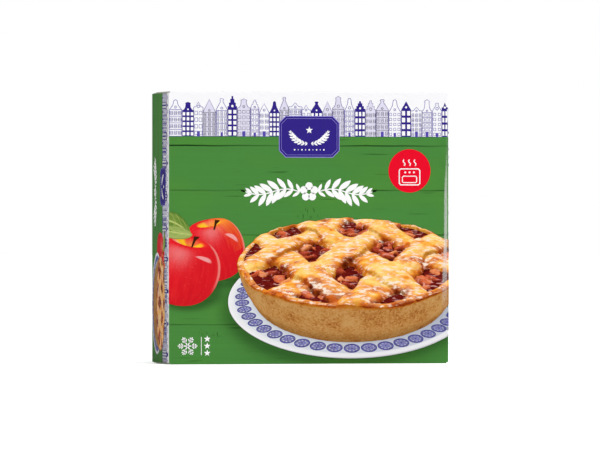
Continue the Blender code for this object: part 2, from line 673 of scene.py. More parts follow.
# %% Laying and showing a piece
def lay(mesh, panel, u=0.0, v=0.0, scale=1.0, lift=0.0):
    """Lay a flat drawing on a panel, with its origin at u and v."""
    x, y, z = points_of(mesh).T
    return with_points(mesh, np.stack(panel(u + x * scale, v + y * scale, lift + z), axis=-1))


def show(mesh, name, finish=None):
    """Put a finished mesh in the scene as a piece that rides on the carton."""
    mesh.name = name
    if finish:
        mesh.materials.append(finish)
    piece = put_in_scene(name, mesh)
    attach(piece, "root")
    print(name, len(mesh.polygons), "faces")


# %% [markdown]
# ## Geometry Nodes as a drawing pen
# Two small trees do most of the drawing. One runs a flat nib along a curve, which gives a line of
# even width. The other fills a closed curve and gives the patch a little thickness. Both are used
# inside larger trees that repeat windows, leaves, petals and rays.


# %% Helpers for geometry trees
def geometry_tree(name, inputs, takes_geometry=False):
    """Open a geometry tree. Gives its inputs."""
    return new_group(name, "Geometry", inputs, ("Geometry", "Geometry"), takes_geometry)


def finished_tree(*parts):
    """The tree on the bench, with its parts joined, made real and put out."""
    real = add_node("GeometryNodeRealizeInstances", Geometry=join(*parts))
    feed(bench["tree"].nodes.new("NodeGroupOutput"), "Geometry", real)
    return bench["tree"]


def inked(geometry, finish):
    """A geometry with its finish set."""
    return add_node("GeometryNodeSetMaterial", Geometry=geometry, Material=finish)


def join(*parts):
    """Several geometries as one."""
    node = bench["tree"].nodes.new("GeometryNodeJoinGeometry")
    for part in parts:
        feed(node, 0, part)
    return Wire(node.outputs[0])


def on_points(points, instance, **more):
    """A copy of the instance at each point."""
    return add_node("GeometryNodeInstanceOnPoints", Points=points, Instance=instance, **more)


def moved(geometry, **by):
    """A geometry moved by numbers or wires."""
    return add_node("GeometryNodeTransform", Geometry=geometry, Translation=combined(**by))


def chosen(switch, when_true, when_false=None):
    """One of two geometries, or none."""
    node = add_node("GeometryNodeSwitch", {"input_type": "GEOMETRY"}, Switch=switch, _2=when_true)
    if when_false:
        feed(node.socket.node, 1, when_false)
    return node


def circle(radius, sides):
    """A round curve."""
    return add_node("GeometryNodeCurvePrimitiveCircle", Resolution=sides, Radius=radius)


def rectangle(width, height, **by):
    """An upright rectangle of curve, moved by what is given."""
    sides = add_node("GeometryNodeCurvePrimitiveQuadrilateral", Width=width, Height=height)
    return moved(sides, **by)


def straight(start, end):
    """A straight line of curve between two places, given as x and y."""
    ends = [combined(X=x, Y=y) for x, y in (start, end)]
    return add_node("GeometryNodeCurvePrimitiveLine", Start=ends[0], End=ends[1])


def turned_by(step):
    """A rotation about the upright axis that grows by one step from each point to the next."""
    turn = combined(Z=add_node("GeometryNodeInputIndex") * step)
    return add_node("FunctionNodeEulerToRotation", Euler=turn)


def in_a_ring(count, instance, radius=0.00001):
    """Copies turned round the middle."""
    around = add_node("GeometryNodeMeshCircle", Vertices=count, Radius=radius)
    return on_points(around, instance, Rotation=turned_by(math.tau / count))


def run_tree(tree, values, source=None):
    """Evaluate a tree with its named inputs set, and give the result as a plain mesh."""
    holder = bpy.data.objects.new("holder", source or bpy.data.meshes.new("blank"))
    bpy.context.scene.collection.objects.link(holder)
    modifier = holder.modifiers.new("tree", "NODES")
    modifier.node_group = tree
    sockets = {item.name: item.identifier for item in tree.interface.items_tree}
    for label, value in values.items():
        modifier[sockets[label]] = value
    graph = bpy.context.evaluated_depsgraph_get()
    mesh = bpy.data.meshes.new_from_object(holder.evaluated_get(graph))
    bpy.data.objects.remove(holder, do_unlink=True)
    return mesh


def joined(meshes):
    """Several plain meshes as one, with their finishes kept."""
    whole = bpy.data.meshes.new("joined")
    finishes = []
    with editing(whole) as shape:
        for mesh in meshes:
            start = len(shape.faces)
            shape.from_mesh(mesh)
            shape.faces.ensure_lookup_table()
            for finish in mesh.materials:
                if finish not in finishes:
                    finishes.append(finish)
            for face in shape.faces[start:]:
                face.material_index = finishes.index(mesh.materials[face.material_index])
    for finish in finishes:
        whole.materials.append(finish)
    return whole


# %% Pen and patch trees
LINE = 0.00040
INK_THICKNESS = 0.00005
LAYER = 0.00003


def make_pen():
    """A line of even width along a curve."""
    given = geometry_tree("pen", {"Line": LINE, "Ink": INK_THICKNESS, "Finish": FINISH}, True)
    upright = add_node("GeometryNodeSetCurveNormal", {"mode": "Z_UP"}, Curve=given["Geometry"])
    nib = add_node(
        "GeometryNodeCurvePrimitiveQuadrilateral", Width=given["Line"], Height=given["Ink"])
    line = add_node("GeometryNodeCurveToMesh", Curve=upright, Profile_Curve=nib, Fill_Caps=True)
    return finished_tree(inked(line, given["Finish"]))


def make_patch():
    """A closed curve filled with ink."""
    given = geometry_tree("patch", {"Ink": INK_THICKNESS, "Finish": FINISH}, True)
    face = add_node("GeometryNodeFillCurve", {"mode": "NGONS"}, Curve=given["Geometry"])
    lid = add_node(
        "GeometryNodeExtrudeMesh", Mesh=face, Offset=combined(Z=given["Ink"]), Offset_Scale=1.0,
        Individual=False)
    under = add_node("GeometryNodeFlipFaces", Mesh=face)
    closed = add_node(
        "GeometryNodeMergeByDistance", Geometry=join(lid, under), Distance=0.000001)
    return finished_tree(inked(closed, given["Finish"]))


pen = make_pen()
patch = make_patch()


# %% Drawing with the pen and the patch
def curve_of(outlines, closed=True):
    """Flat outlines as one curve."""
    curve = bpy.data.curves.new("outline", "CURVE")
    curve.dimensions = "2D"
    curve.fill_mode = "NONE"
    for outline in outlines:
        spline = curve.splines.new("POLY")
        spline.points.add(len(outline) - 1)
        for point, (x, y) in zip(spline.points, outline):
            point.co = (x, y, 0.0, 1.0)
        spline.use_cyclic_u = closed
    return curve


def drawn(outlines, finish, line=LINE, closed=True, lift=0.0):
    """Outlines drawn with the pen."""
    curve = curve_of(outlines, closed)
    return placed(run_tree(pen, {"Line": line, "Finish": finish}, curve), z=lift)


def filled(outline, finish, lift=0.0, ink_height=INK_THICKNESS):
    """An outline filled with ink."""
    values = {"Ink": ink_height, "Finish": finish}
    return placed(run_tree(patch, values, curve_of([outline])), z=lift)


print("pen and patch ready")

# %% [markdown]
# ## A row of townhouses
# The white band carries a row of narrow gabled houses in blue line. A house is a body with storeys
# and bays of windows under a gable, so one geometry tree draws them all: the gable's outline goes
# in as a curve and the rest are numbers. Every few houses one is printed solid.

# %% Gable outlines
BELL_STEPS = 7
HALF_GABLES = {
    "bell": [
        *((0.5 - 0.34 * math.sin(math.pi / 2 * k / BELL_STEPS), k / BELL_STEPS * 0.8)
          for k in range(BELL_STEPS)),
        (0.15, 0.88), (0.08, 0.97), (0.0, 1.0)],
    "step": [
        (0.5, 0.0), (0.5, 0.22), (0.36, 0.22), (0.36, 0.5), (0.22, 0.5), (0.22, 0.78),
        (0.09, 0.78), (0.09, 1.0)],
    "point": [(0.5, 0.0), (0.0, 1.0)],
    "neck": [
        (0.5, 0.0), (0.5, 0.1), (0.34, 0.2), (0.24, 0.42), (0.2, 0.8), (0.26, 0.86), (0.0, 1.0)],
    "spout": [(0.5, 0.0), (0.52, 0.06), (0.12, 0.74), (0.12, 0.86), (0.17, 0.9), (0.12, 1.0)],
    "cornice": [(0.56, 0.0), (0.56, 0.16), (0.5, 0.22), (0.3, 0.22), (0.0, 0.6)],
}


def house_outline(kind, width, body, gable):
    """A whole house's outline, anticlockwise from its lower right corner."""
    right = [(x * width, body + y * gable) for x, y in HALF_GABLES[kind]]
    left = [(-x, y) for x, y in reversed(right) if x > 0]
    return [(width / 2, 0.0), *right, *left, (-width / 2, 0.0)]


# %% Townhouse tree
def make_townhouse_tree():
    """Body, storeys and windows of one house, as lines or printed solid."""
    given = geometry_tree("townhouse", {
        "Width": 0.009, "Body": 0.021, "Storeys": 4, "Bays": 3, "Pane width": 0.56,
        "Pane height": 0.6, "Gable window": 0.0009, "Door": 0.0024, "Solid": False,
        "Bars": False, "Ledges": True, "Wash": 0.0, "Line ink": FINISH, "Solid ink": FINISH,
        "Paper": FINISH, "Wash ink": FINISH}, True)
    outline, width, body, door = (given[key] for key in ("Geometry", "Width", "Body", "Door"))
    bay, storey = width / given["Bays"], body / given["Storeys"]

    def line(curve):
        return use(pen, Geometry=curve, Finish=given["Line ink"])

    def field(curve, finish):
        return use(patch, Geometry=curve, Finish=given[finish])

    def levels(across, up, bays, storeys):
        grid = add_node(
            "GeometryNodeMeshGrid", Size_X=across, Size_Y=up, Vertices_X=bays,
            Vertices_Y=storeys)
        return moved(grid, Y=body * 0.5)

    grid = levels(width - bay, body - storey, given["Bays"], given["Storeys"])
    wide, tall = bay * given["Pane width"], storey * given["Pane height"]
    bars = chosen(given["Bars"], line(rectangle(wide, tall * 0.3)))
    window = join(line(rectangle(wide, tall)), bars)
    ledge = line(straight((width * -0.5, 0.0), (width * 0.5, 0.0)))
    ledges = on_points(levels(0.0, body, 1, given["Storeys"] + 1.0), ledge)
    eye = moved(circle(given["Gable window"], 12), Y=given["Gable window"] * 2.4 + body)
    drawing = join(
        line(outline), line(eye), on_points(grid, window), chosen(given["Ledges"], ledges),
        field(rectangle(door, door * 1.7, Y=door * 0.85), "Line ink"))
    washes = chosen(given["Wash"] > 0.5, field(outline, "Wash ink"))
    open_house = join(washes, moved(drawing, Z=INK_THICKNESS / 2))
    light = field(rectangle(bay * 0.62, storey * 0.66), "Paper")
    panes = join(on_points(grid, light), field(eye, "Paper"))
    solid_house = join(field(outline, "Solid ink"), moved(panes, Z=INK_THICKNESS / 2))
    return finished_tree(chosen(given["Solid"], solid_house, open_house))


townhouse_tree = make_townhouse_tree()

# %% Rows of houses
HOUSE_BODY = 0.0203
HOUSE_GABLE = 0.0086
HOUSE_SHARE = 0.96
HOUSE_WIDTHS = (0.0070, 0.0110)
TWO_BAYS_BELOW = 0.0085
LEAST_HOUSE = 0.004
HOUSE_INKS = {
    "Line ink": line_blue, "Solid ink": dark_blue, "Paper": paper_white, "Wash ink": wash_blue}


def house_row(length, seed):
    """Houses side by side until the length is full, each a little different from the last."""
    draw = random.Random(seed)
    houses, start, number = [], 0.0, 0
    kinds = list(HALF_GABLES)
    while start < length - LEAST_HOUSE:
        number += 1
        if number % len(kinds) == 1:
            draw.shuffle(kinds)
        width = min(draw.uniform(*HOUSE_WIDTHS), length - start)
        body = HOUSE_BODY * draw.uniform(0.90, 1.08)
        gable = HOUSE_GABLE * draw.uniform(0.80, 1.22)
        outline = house_outline(kinds[number % len(kinds)], width * HOUSE_SHARE, body, gable)
        house = run_tree(townhouse_tree, {
            "Width": width, "Body": body, "Storeys": draw.choice((4, 5)),
            "Bays": 2 if width < TWO_BAYS_BELOW else 3, "Pane width": draw.uniform(0.42, 0.7),
            "Pane height": draw.uniform(0.45, 0.72),
            "Gable window": draw.uniform(0.0006, 0.0011),
            "Door": draw.choice((0.0, 0.0018, 0.0024)), "Solid": number % 4 == 2,
            "Bars": draw.random() < 0.45, "Ledges": draw.random() < 0.6,
            "Wash": 0.75 * draw.random(), **HOUSE_INKS,
        }, curve_of([outline]))
        houses.append(placed(house, start + width / 2))
        start += width
    return joined(houses)


ROW_MARGIN = 0.0006
front_row = house_row(WIDTH - 2 * ROW_MARGIN, 5)
show(lay(front_row, on_front, ROW_MARGIN, BAND_LOW, lift=LAYER), "front_houses")

# %% [markdown]
# ## The printed picture
# The pack's picture shows a pie on its plate and two apples. A picture of a round thing is really a
# round thing pressed flat. So each thing is first modelled at its true size on an imaginary table,
# then seen from a point in front of and above it, and pressed on the panel as a relief less than
# two millimetres high. Before the pressing, each point stores which way the true form faced there,
# and the print's finish paints light and shade from that, because the relief has none of its own.

# %% The picture's point of view
PICTURE_EYE = np.array((-0.0025, -0.4783, 0.237))
PICTURE_AIM = np.array((-0.0025, -0.0033, 0.02))
PICTURE_SCALE = 518.8
PICTURE_CENTRE = (348.0, 274.6)
PICTURE_FAR = 0.66
RELIEF = 0.0014
picture_forward = (PICTURE_AIM - PICTURE_EYE) / np.linalg.norm(PICTURE_AIM - PICTURE_EYE)
picture_right = np.array((1.0, 0.0, 0.0))
picture_up = np.cross(picture_right, picture_forward)


def photo_place(points):
    """Where a point of the table lands in the photograph, in pixels, and how far away it is."""
    away = points - PICTURE_EYE
    depth = away @ picture_forward
    px = PICTURE_CENTRE[0] + PICTURE_SCALE * (away @ picture_right) / depth
    py = PICTURE_CENTRE[1] - PICTURE_SCALE * (away @ picture_up) / depth
    return px, py, depth


def cut_off(mesh, lowest, highest):
    """Trim what runs past the panel, and close the cut."""
    with editing(mesh) as shape:
        for place, way in ((lowest, -1), (highest, 1)):
            cut = cut_along(shape, (place, 0, 0), (way, 0, 0), clear_outer=True)
            rims = [part for part in cut["geom_cut"] if isinstance(part, bmesh.types.BMEdge)]
            if rims:
                bmesh.ops.holes_fill(shape, edges=rims, sides=0)
    return mesh


def press(mesh, lift, place, panel, limits):
    """Press a form that stands on the table flat on a panel."""
    px, py, depth = photo_place(points_of(mesh))
    u, v = place(px, py)
    with_points(mesh, np.stack([u, v, lift + (PICTURE_FAR - depth) * RELIEF], axis=-1))
    if u.min() < limits[0] or u.max() > limits[1]:
        cut_off(mesh, *limits)
    return lay(mesh, panel)


FRONT_LIMITS = (FOLD_RADIUS * (1 - math.pi / 6), WIDTH - FOLD_RADIUS * (1 - math.pi / 3))
ON_FRONT = (from_photo, on_front, FRONT_LIMITS)


# %% Painted light group
def make_print_light():
    """The light of the picture: a lamp at the upper left, a window behind, and soft shade."""
    given = shader_group("print_light", {
        "Colour": WHITE, "Form": (0.0, 0.0, 1.0), "Sunlit": 1.0, "Hollow": 1.0, "Ambient": 0.5,
        "Lamp": 0.7, "Lamp from": (-0.52, -0.22, 0.83), "Gloss": 0.5,
        "Gloss from": (-0.18, -0.12, 0.98), "Gloss width": 20.0,
        "Gloss colour": ink(255, 244, 228), "Shade tint": WHITE})
    form = vectors("NORMALIZE", given["Form"])
    hollow = given["Hollow"]

    def facing(way):
        along = vectors("DOT_PRODUCT", form, vectors("NORMALIZE", given[way]))
        return reckon("MAXIMUM", along, 0.0)

    lamp = facing("Lamp from") * given["Sunlit"] * given["Lamp"]
    light = given["Ambient"] * hollow + lamp
    tint = blended(rising(light, 1.1, 0.35), WHITE, given["Shade tint"])
    colour = vectors("SCALE", vectors("MULTIPLY", given["Colour"], tint), Scale=light)
    shine = facing("Gloss from") ** given["Gloss width"] * given["Gloss"]
    shine = reckon("MULTIPLY", shine, hollow, clamp=True)
    return finished_group(blended(shine, colour, given["Gloss colour"]))


print_light = make_print_light()


def ramp(value, *stops):
    """A colour that runs through stops. Each is a place and the colour's red, green and blue."""
    colour = add_node("ShaderNodeValToRGB", Fac=value)
    elements = colour.socket.node.color_ramp.elements
    while len(elements) < len(stops):
        elements.new(0.5)
    for element, (place, *parts) in zip(elements, stops):
        element.position = place
        element.color = ink(*parts)
    return colour


def rough_form(place, scale, strength):
    """The true form's direction, roughened by noise. Scale is three numbers, one for each axis."""
    grains = noise(vectors("MULTIPLY", place, scale), 1.0, 2.0, 0.6, "Color")
    grains = vectors("SUBTRACT", grains, (0.5, 0.5, 0.5))
    grains = vectors("SCALE", grains, Scale=strength)
    return vectors("ADD", attribute("form", "Vector"), grains)


# %% [markdown]
# ### The pie's form
# The pie is a low cone with a woven lattice of wide, soft strips. Its top is worked out as a height
# for each place: two families of strips cross at an angle, each strip is a pillow that rises and
# dips where it passes over and under, and cubes of apple lie in the filling between them.

# %% Sizes of the pie
PIE_RADIUS = 0.1117
PIE_BASE_RADIUS = 0.0980
PIE_HEIGHT = 0.042
FILLING_LEVEL = 0.0330
STRIP_TURN = math.radians(59.5)
STRIP_SPACING = 0.0629
STRIP_WIDTH = 0.0325
STRIP_HEIGHT = 0.0090
STRIP_WEAVE = 0.0024
STRIP_BLEND = 8.0
STRIP_PHASES = (-0.10, -0.07)
CHUNK_SPACING = 0.0125
CHUNK_SIZES = (0.0042, 0.0078)
DOME = 0.0042
RIM_MIDDLE = PIE_RADIUS - 0.0022
RIM_HALF = 0.0044
SHOULDER = 0.0060
NOISE_TABLE = np.random.default_rng(7).random((256, 256)).T * 2 - 1


def smooth(value):
    """A smooth rise from 0 to 1."""
    value = np.clip(value, 0.0, 1.0)
    return value * value * (3 - 2 * value)


def between(table, column, row, across, up):
    """A table's value inside a cell, by shares of the way across and up it."""
    size = len(table)

    def edge(level):
        left, right = (table[level % size, (column + step) % size] for step in (0, 1))
        return left + (right - left) * across

    return edge(row) + (edge(row + 1) - edge(row)) * up


def ripple(x, y, size, seed=0):
    """Smooth random waves of about the size given, between -1 and 1."""
    x = np.asarray(x) / size + 31.7 * seed + 512
    y = np.asarray(y) / size + 17.3 * seed + 512
    column, row = np.floor(x).astype(int), np.floor(y).astype(int)
    return between(NOISE_TABLE, column, row, smooth(x - column), smooth(y - row))


# %% Lattice and filling
def strip_family(x, y, turn, phase, seed):
    """One family of strips: its running number, and 1 on a strip's middle down to 0 at its edge."""
    across = (-math.sin(turn) * x + math.cos(turn) * y) / STRIP_SPACING + phase
    half = STRIP_WIDTH / 2 * (1 + 0.20 * ripple(x, y, 0.026, seed))
    return across, 1 - np.abs(across - np.round(across)) * STRIP_SPACING / half


def lattice(x, y):
    """Height of the pastry above the filling, -1 where there is none, and nearness to an edge."""
    x, y = (
        part + 0.0040 * ripple(x, y, 0.034, seed) + 0.0011 * ripple(x, y, 0.009, seed + 2)
        for part, seed in ((x, 1), (y, 2)))
    first, on_first = strip_family(x, y, STRIP_TURN, STRIP_PHASES[0], 5)
    second, on_second = strip_family(x, y, -STRIP_TURN, STRIP_PHASES[1], 6)
    both = np.logaddexp(STRIP_BLEND * on_first, STRIP_BLEND * on_second) / STRIP_BLEND
    cover = np.clip(both, 0.0, 1.0)
    pillow = np.sqrt(np.clip(1 - (1 - cover) ** 2.6, 0.0, None))
    rise_first = STRIP_WEAVE * np.cos(math.pi * (second + np.round(first)))
    rise_second = -STRIP_WEAVE * np.cos(math.pi * (first + np.round(second)))
    in_first, in_second = smooth(on_first / 0.22), smooth(on_second / 0.22)
    lift = in_first * in_second * np.maximum(rise_first, rise_second)
    lift += in_first * (1 - in_second) * rise_first + in_second * (1 - in_first) * rise_second
    return np.where(both > 0, STRIP_HEIGHT * pillow + lift, -1.0), 1 - cover


def near_rim(away):
    """0 in the middle of the pie and 1 close to its rim, where the filling has boiled up."""
    return smooth((away - 0.076) / 0.026)


def filling(x, y):
    """Height of the filling above its level, and which places are a cube of apple."""
    draw = np.random.default_rng(23)
    height = 0.0007 * ripple(x, y, 0.006, 9) + 0.0052 * near_rim(np.hypot(x, y))
    apple = np.zeros_like(x)
    steps = np.arange(-PIE_RADIUS, PIE_RADIUS, CHUNK_SPACING)
    for start in ((start_x, start_y) for start_x in steps for start_y in steps):
        centre = np.array(start) + draw.uniform(-0.004, 0.004, 2)
        size = draw.uniform(*CHUNK_SIZES, 2)
        turn = draw.uniform(0, math.pi)
        slope = draw.uniform(-0.45, 0.45, 2)
        rise, tint = draw.uniform(-0.001, 0.0042), draw.uniform(0.35, 1.0)
        if np.hypot(*centre) > PIE_RADIUS - 0.012:
            continue
        near = np.hypot(x - centre[0], y - centre[1]) < size.max() * 1.5
        dx, dy = x[near] - centre[0], y[near] - centre[1]
        along = math.cos(turn) * dx + math.sin(turn) * dy
        aside = -math.sin(turn) * dx + math.cos(turn) * dy
        inside = np.maximum(np.abs(along) - size[0], np.abs(aside) - size[1])
        cube = rise + slope[0] * along + slope[1] * aside - 0.0018 * smooth(inside / 0.0020 + 1)
        cube = cube + 0.0042 * near_rim(np.hypot(*centre))
        higher = (inside < 0) & (cube > height[near])
        height[near] = np.where(higher, cube, height[near])
        apple[near] = np.where(higher, tint, apple[near])
    return height, apple


def pie_top(x, y):
    """Height of the pie's top with its pastry, apple and browning, each between 0 and 1."""
    away = np.hypot(x, y)
    dome = DOME * (1 - (away / PIE_RADIUS) ** 2)
    strips, edge = lattice(x, y)
    fill, apple = filling(x, y)
    border = (away - RIM_MIDDLE - 0.0014 * ripple(x, y, 0.020, 11)) / RIM_HALF
    rim = (PIE_HEIGHT - FILLING_LEVEL - 0.0004) * np.sqrt(np.clip(1 - border ** 4, 0, None))
    rim = np.where(np.abs(border) < 1, rim + 0.0020 * ripple(x, y, 0.020, 12), -1.0)
    outer = smooth((away - PIE_RADIUS) / SHOULDER + 1)
    pastry_height = np.maximum(strips, rim)
    crumb = 0.00030 * ripple(x, y, 0.0035, 13) + 0.00020 * ripple(x, y, 0.0016, 14)
    crumb = crumb + 0.00075 * ripple(x, y, 0.0085, 18)
    is_pastry = pastry_height > fill
    height = np.where(is_pastry, pastry_height + crumb, fill)
    brown = 0.26 + 0.40 * smooth((edge - 0.50) / 0.50) + 0.30 * ripple(x, y, 0.013, 15)
    brown = brown + 0.22 * ripple(x, y, 0.005, 16) + 0.24 * smooth((-y - 0.050) / 0.045)
    brown = np.where(rim >= strips, 0.50 + 0.26 * ripple(x, y, 0.012, 17), brown)
    brown = brown + outer * (0.24 + 0.16 * x / PIE_RADIUS)
    top = FILLING_LEVEL + dome + height - 0.0014 * outer ** 2
    return top, is_pastry.astype(float), apple * ~is_pastry, np.clip(brown, 0, 1)


# %% Light in the hollows of the pie
FIELD_CELLS = 400
FIELD_REACH = 0.116
FIELD_CELL = 2 * FIELD_REACH / (FIELD_CELLS - 1)
TABLE_LEVEL = 0.030
LAMP_SLOPE = 1.70
LAMP_WAY = np.array((-0.80, 0.60))


def height_field():
    """The pie's top on a square grid, for working out shade."""
    steps = np.linspace(-FIELD_REACH, FIELD_REACH, FIELD_CELLS)
    y, x = np.meshgrid(steps, steps, indexing="ij")
    return np.where(np.hypot(x, y) > PIE_RADIUS, TABLE_LEVEL, pie_top(x, y)[0])


def shifted(field, right, up):
    """The field as seen a number of cells further right and up."""
    return np.roll(field, (-int(round(up)), -int(round(right))), axis=(0, 1))


def shade_fields(field):
    """How open each place is to the sky, and how much of the lamp it sees."""
    openness = np.zeros_like(field)
    for turn in range(16):
        way = math.cos(turn * math.pi / 8), math.sin(turn * math.pi / 8)
        horizon = np.zeros_like(field)
        for reach in range(2, 50, 2):
            rise = shifted(field, way[0] * reach, way[1] * reach) - field
            horizon = np.maximum(horizon, rise / (reach * FIELD_CELL))
        openness += 1 / (1 + horizon ** 2) / 16
    clear = np.full_like(field, 1.0)
    for step in range(1, 40):
        seen = field + step * FIELD_CELL * LAMP_SLOPE - shifted(field, *(LAMP_WAY * step))
        clear = np.minimum(clear, seen)
    return openness, smooth(clear / 0.0022 + 0.5)


def read_field(field, x, y):
    """A field's value between its grid points."""
    across, up = (
        np.clip((part + FIELD_REACH) / FIELD_CELL, 0, FIELD_CELLS - 1.001) for part in (x, y))
    column, row = across.astype(int), up.astype(int)
    return between(field, column, row, across - column, up - row)


open_field, lamp_field = shade_fields(height_field())
print("openness of the lattice", open_field.min().round(2), "to", open_field.max().round(2))


# %% Turned grids
def turned_grid(radii, heights, segments):
    """A closed form turned round the upright axis. Radii and heights have one row for each ring."""
    mesh = bpy.data.meshes.new("turned")
    turns = np.arange(segments) * (2 * math.pi / segments)
    rings = []
    with editing(mesh) as shape:
        for radius, height in zip(radii, heights):
            radius, height = (np.broadcast_to(size, segments) for size in (radius, height))
            rings.append([
                shape.verts.new((r * math.cos(t), r * math.sin(t), h))
                for r, h, t in zip(radius, height, turns)])
        for upper, lower in zip(rings, rings[1:]):
            for place in range(segments):
                after = (place + 1) % segments
                shape.faces.new((upper[place], lower[place], lower[after], upper[after]))
        shape.faces.new(rings[0])
        shape.faces.new(list(reversed(rings[-1])))
    return mesh


def facing_of(mesh):
    """Which way each point of a mesh faces."""
    return points_of(mesh, mesh.vertex_normals, "vector")


def make_pie(top_rings, wall_rings, segments):
    """The whole pie on the table, with its true form stored on its points."""
    turns = np.arange(segments) * (2 * math.pi / segments)
    edge = PIE_RADIUS * (1 + 0.007 * ripple(np.cos(turns) * 3, np.sin(turns) * 3, 1.0, 21))
    radii = [edge * share for share in np.linspace(0.004, 1.0, top_rings)]
    heights = [pie_top(r * np.cos(turns), r * np.sin(turns))[0] for r in radii]
    lip = heights[-1]
    for step in range(1, wall_rings + 1):
        share = step / wall_rings
        bulge = 0.0022 * math.sin(math.pi * share)
        radius = edge + (PIE_BASE_RADIUS - edge) * share ** 1.1 + bulge
        radii.append(radius + 0.0003 * ripple(turns * 30, share * 12, 1.0, 22))
        heights.append(lip * (1 - share))
    radii += [radii[-1] * 0.6, radii[-1] * 0.05]
    heights += [0.0 * lip, 0.0 * lip]
    mesh = turned_grid(radii, heights, segments)
    points = points_of(mesh)
    x, y, z = points.T
    _, pastry, apple, brown = pie_top(x, y)
    on_wall = np.repeat(np.arange(len(radii)), segments) >= top_rings
    rise = np.clip(z / PIE_HEIGHT, 0, 1)
    rim_line = smooth((rise - 0.80) / 0.20)
    clear = read_field(open_field, x, y)
    clear = np.where(pastry > 0, 0.30 + 0.70 * clear, clear)
    store(
        mesh, place=points, form=facing_of(mesh), wall=on_wall,
        pastry=np.where(on_wall, 1.0, pastry), apple=np.where(on_wall, 0.0, apple),
        brown=np.where(on_wall, 0.10 + 0.42 * rim_line ** 2, brown),
        hollow=np.where(on_wall, 0.62 + 0.38 * smooth(rise / 0.45), clear),
        sunlit=np.where(on_wall, 1.0, read_field(lamp_field, x, y)))
    for polygon in mesh.polygons[-2:]:
        polygon.use_smooth = False
    return mesh


# %% [markdown]
# ### The pie's colours
# Egg-washed pastry runs from pale gold in its dips to dark brown where it stands up to the heat,
# with many small painted highlights of glaze. The wall was against the tin, so it is pale, dry and
# sandy.
# The filling is dark red-brown syrup with cubes of apple in it, and painted glints on the syrup.


# %% Print of the pie
def pie_colour():
    """Crust, sandy wall and syrup, lit by the picture's light, then given painted glints of glaze.
    """
    place = attribute("place", "Vector")
    brown, wall, hollow = attribute("brown"), attribute("wall"), attribute("hollow")
    heat = brown + (noise(place, 420.0, 3.0, 0.65) - 0.5) * 0.55 + (noise(place, 95.0) - 0.5) * 0.7
    crust = ramp(
        heat, (0.0, 252, 206, 118), (0.26, 246, 178, 74), (0.48, 236, 144, 50),
        (0.70, 204, 98, 40), (1.0, 116, 42, 20))
    grit = (noise(place, 430.0, 4.0, 0.8) - 0.5) * 1.9 + noise(place, 60.0)
    dough = ramp(grit, (0.12, 186, 116, 58), (0.40, 236, 182, 110), (0.72, 252, 214, 150))
    dough = blended(rising(brown, 0.14, 0.5), dough, crust)
    cube = attribute("apple") + (noise(place, 260.0, 2.0, 0.6) - 0.5) * 0.6
    syrup = ramp(
        cube, (0.0, 96, 22, 20), (0.34, 156, 52, 40), (0.66, 210, 98, 62), (1.0, 244, 160, 102))
    on_pastry = rising(attribute("pastry"), 0.35, 0.65)
    rough = rough_form(place, (130.0, 300.0, 300.0), 1.3)
    sandy = rough_form(place, (420.0, 420.0, 420.0), 0.9)
    colour = use(
        print_light, Colour=blended(on_pastry, syrup, blended(wall, crust, dough)),
        Form=blended(wall, rough, sandy), Sunlit=attribute("sunlit"), Hollow=hollow,
        Ambient=0.56, Lamp=0.69, Gloss=0.0, Shade_tint=(1.0, 0.76, 0.52, 1.0),
        Lamp_from=blended(wall, (-0.46, 0.34, 0.82, 1.0), (-0.74, -0.36, 0.56, 1.0)))
    # Painted highlights: soft cream shine and bright glints where the crust faces up, and pink
    # glints on the syrup.
    upward = rising(parts_of(rough)[2], 0.62, 1.0)
    crust_glint_reach = upward * (1.0 - wall) * on_pastry * rising(hollow, 0.35, 0.75)
    glint_cluster = rising(noise(place, 75.0), 0.36, 0.50) * crust_glint_reach
    thin = stretched_noise(place, (120.0, 250.0, 330.0), 3.0, 0.6)
    syrup_glint = rising(thin, 0.56, 0.63) * (1.0 - on_pastry) * hollow
    return stained(
        colour, (glint_cluster * 0.18, 250, 222, 168),
        (rising(thin, 0.51, 0.57) * glint_cluster * 0.95, 254, 236, 218), (syrup_glint * 0.75, 226, 168, 160))


pie_print = printed("pie_print", pie_colour)

# %% Pie on the front
PIE_LIFT = 0.00020
show(press(make_pie(120, 16, 560), PIE_LIFT, *ON_FRONT), "front_pie", pie_print)

# %% [markdown]
# ### Plate
# The pie stands on a flat white plate with a ring of blue rosettes. The rosettes are a common
# pottery ornament: petals in a ring, repeated round the rim. A geometry tree makes one rosette from
# petals on a circle, and then puts it on a larger circle.

# %% Plate
PLATE_RADIUS = 0.1235
PLATE_LIFT = 0.00012
PLATE_FROM_EDGE = [
    (0.0305, 0.0004), (0.0260, 0.0006), (0.0225, 0.0009), (0.0165, 0.0011), (0.0105, 0.0014),
    (0.0040, 0.0020), (0.0015, 0.0022), (0.0003, 0.0018), (0.0000, 0.0010), (0.0010, 0.0000),
    (0.0105, -0.0012), (0.0505, -0.0020)]


def make_plate(segments):
    """A flat plate with a rounded edge and the pie's soft shadow on it."""
    profile = [(PLATE_RADIUS - inwards, z) for inwards, z in PLATE_FROM_EDGE]
    profile = [(0.002, 0.0004), *profile, (0.002, -0.0020)]
    mesh = turned_grid(*zip(*profile), segments)
    points = points_of(mesh)
    away = np.hypot(points[:, 0], points[:, 1])
    reach = 0.0075 + 0.0045 * points[:, 0] / np.maximum(away, 0.001)
    shadow = np.exp(-np.clip(away - PIE_BASE_RADIUS, 0, None) / reach)
    store(mesh, place=points, form=facing_of(mesh), hollow=1 - 0.42 * shadow)
    return mesh


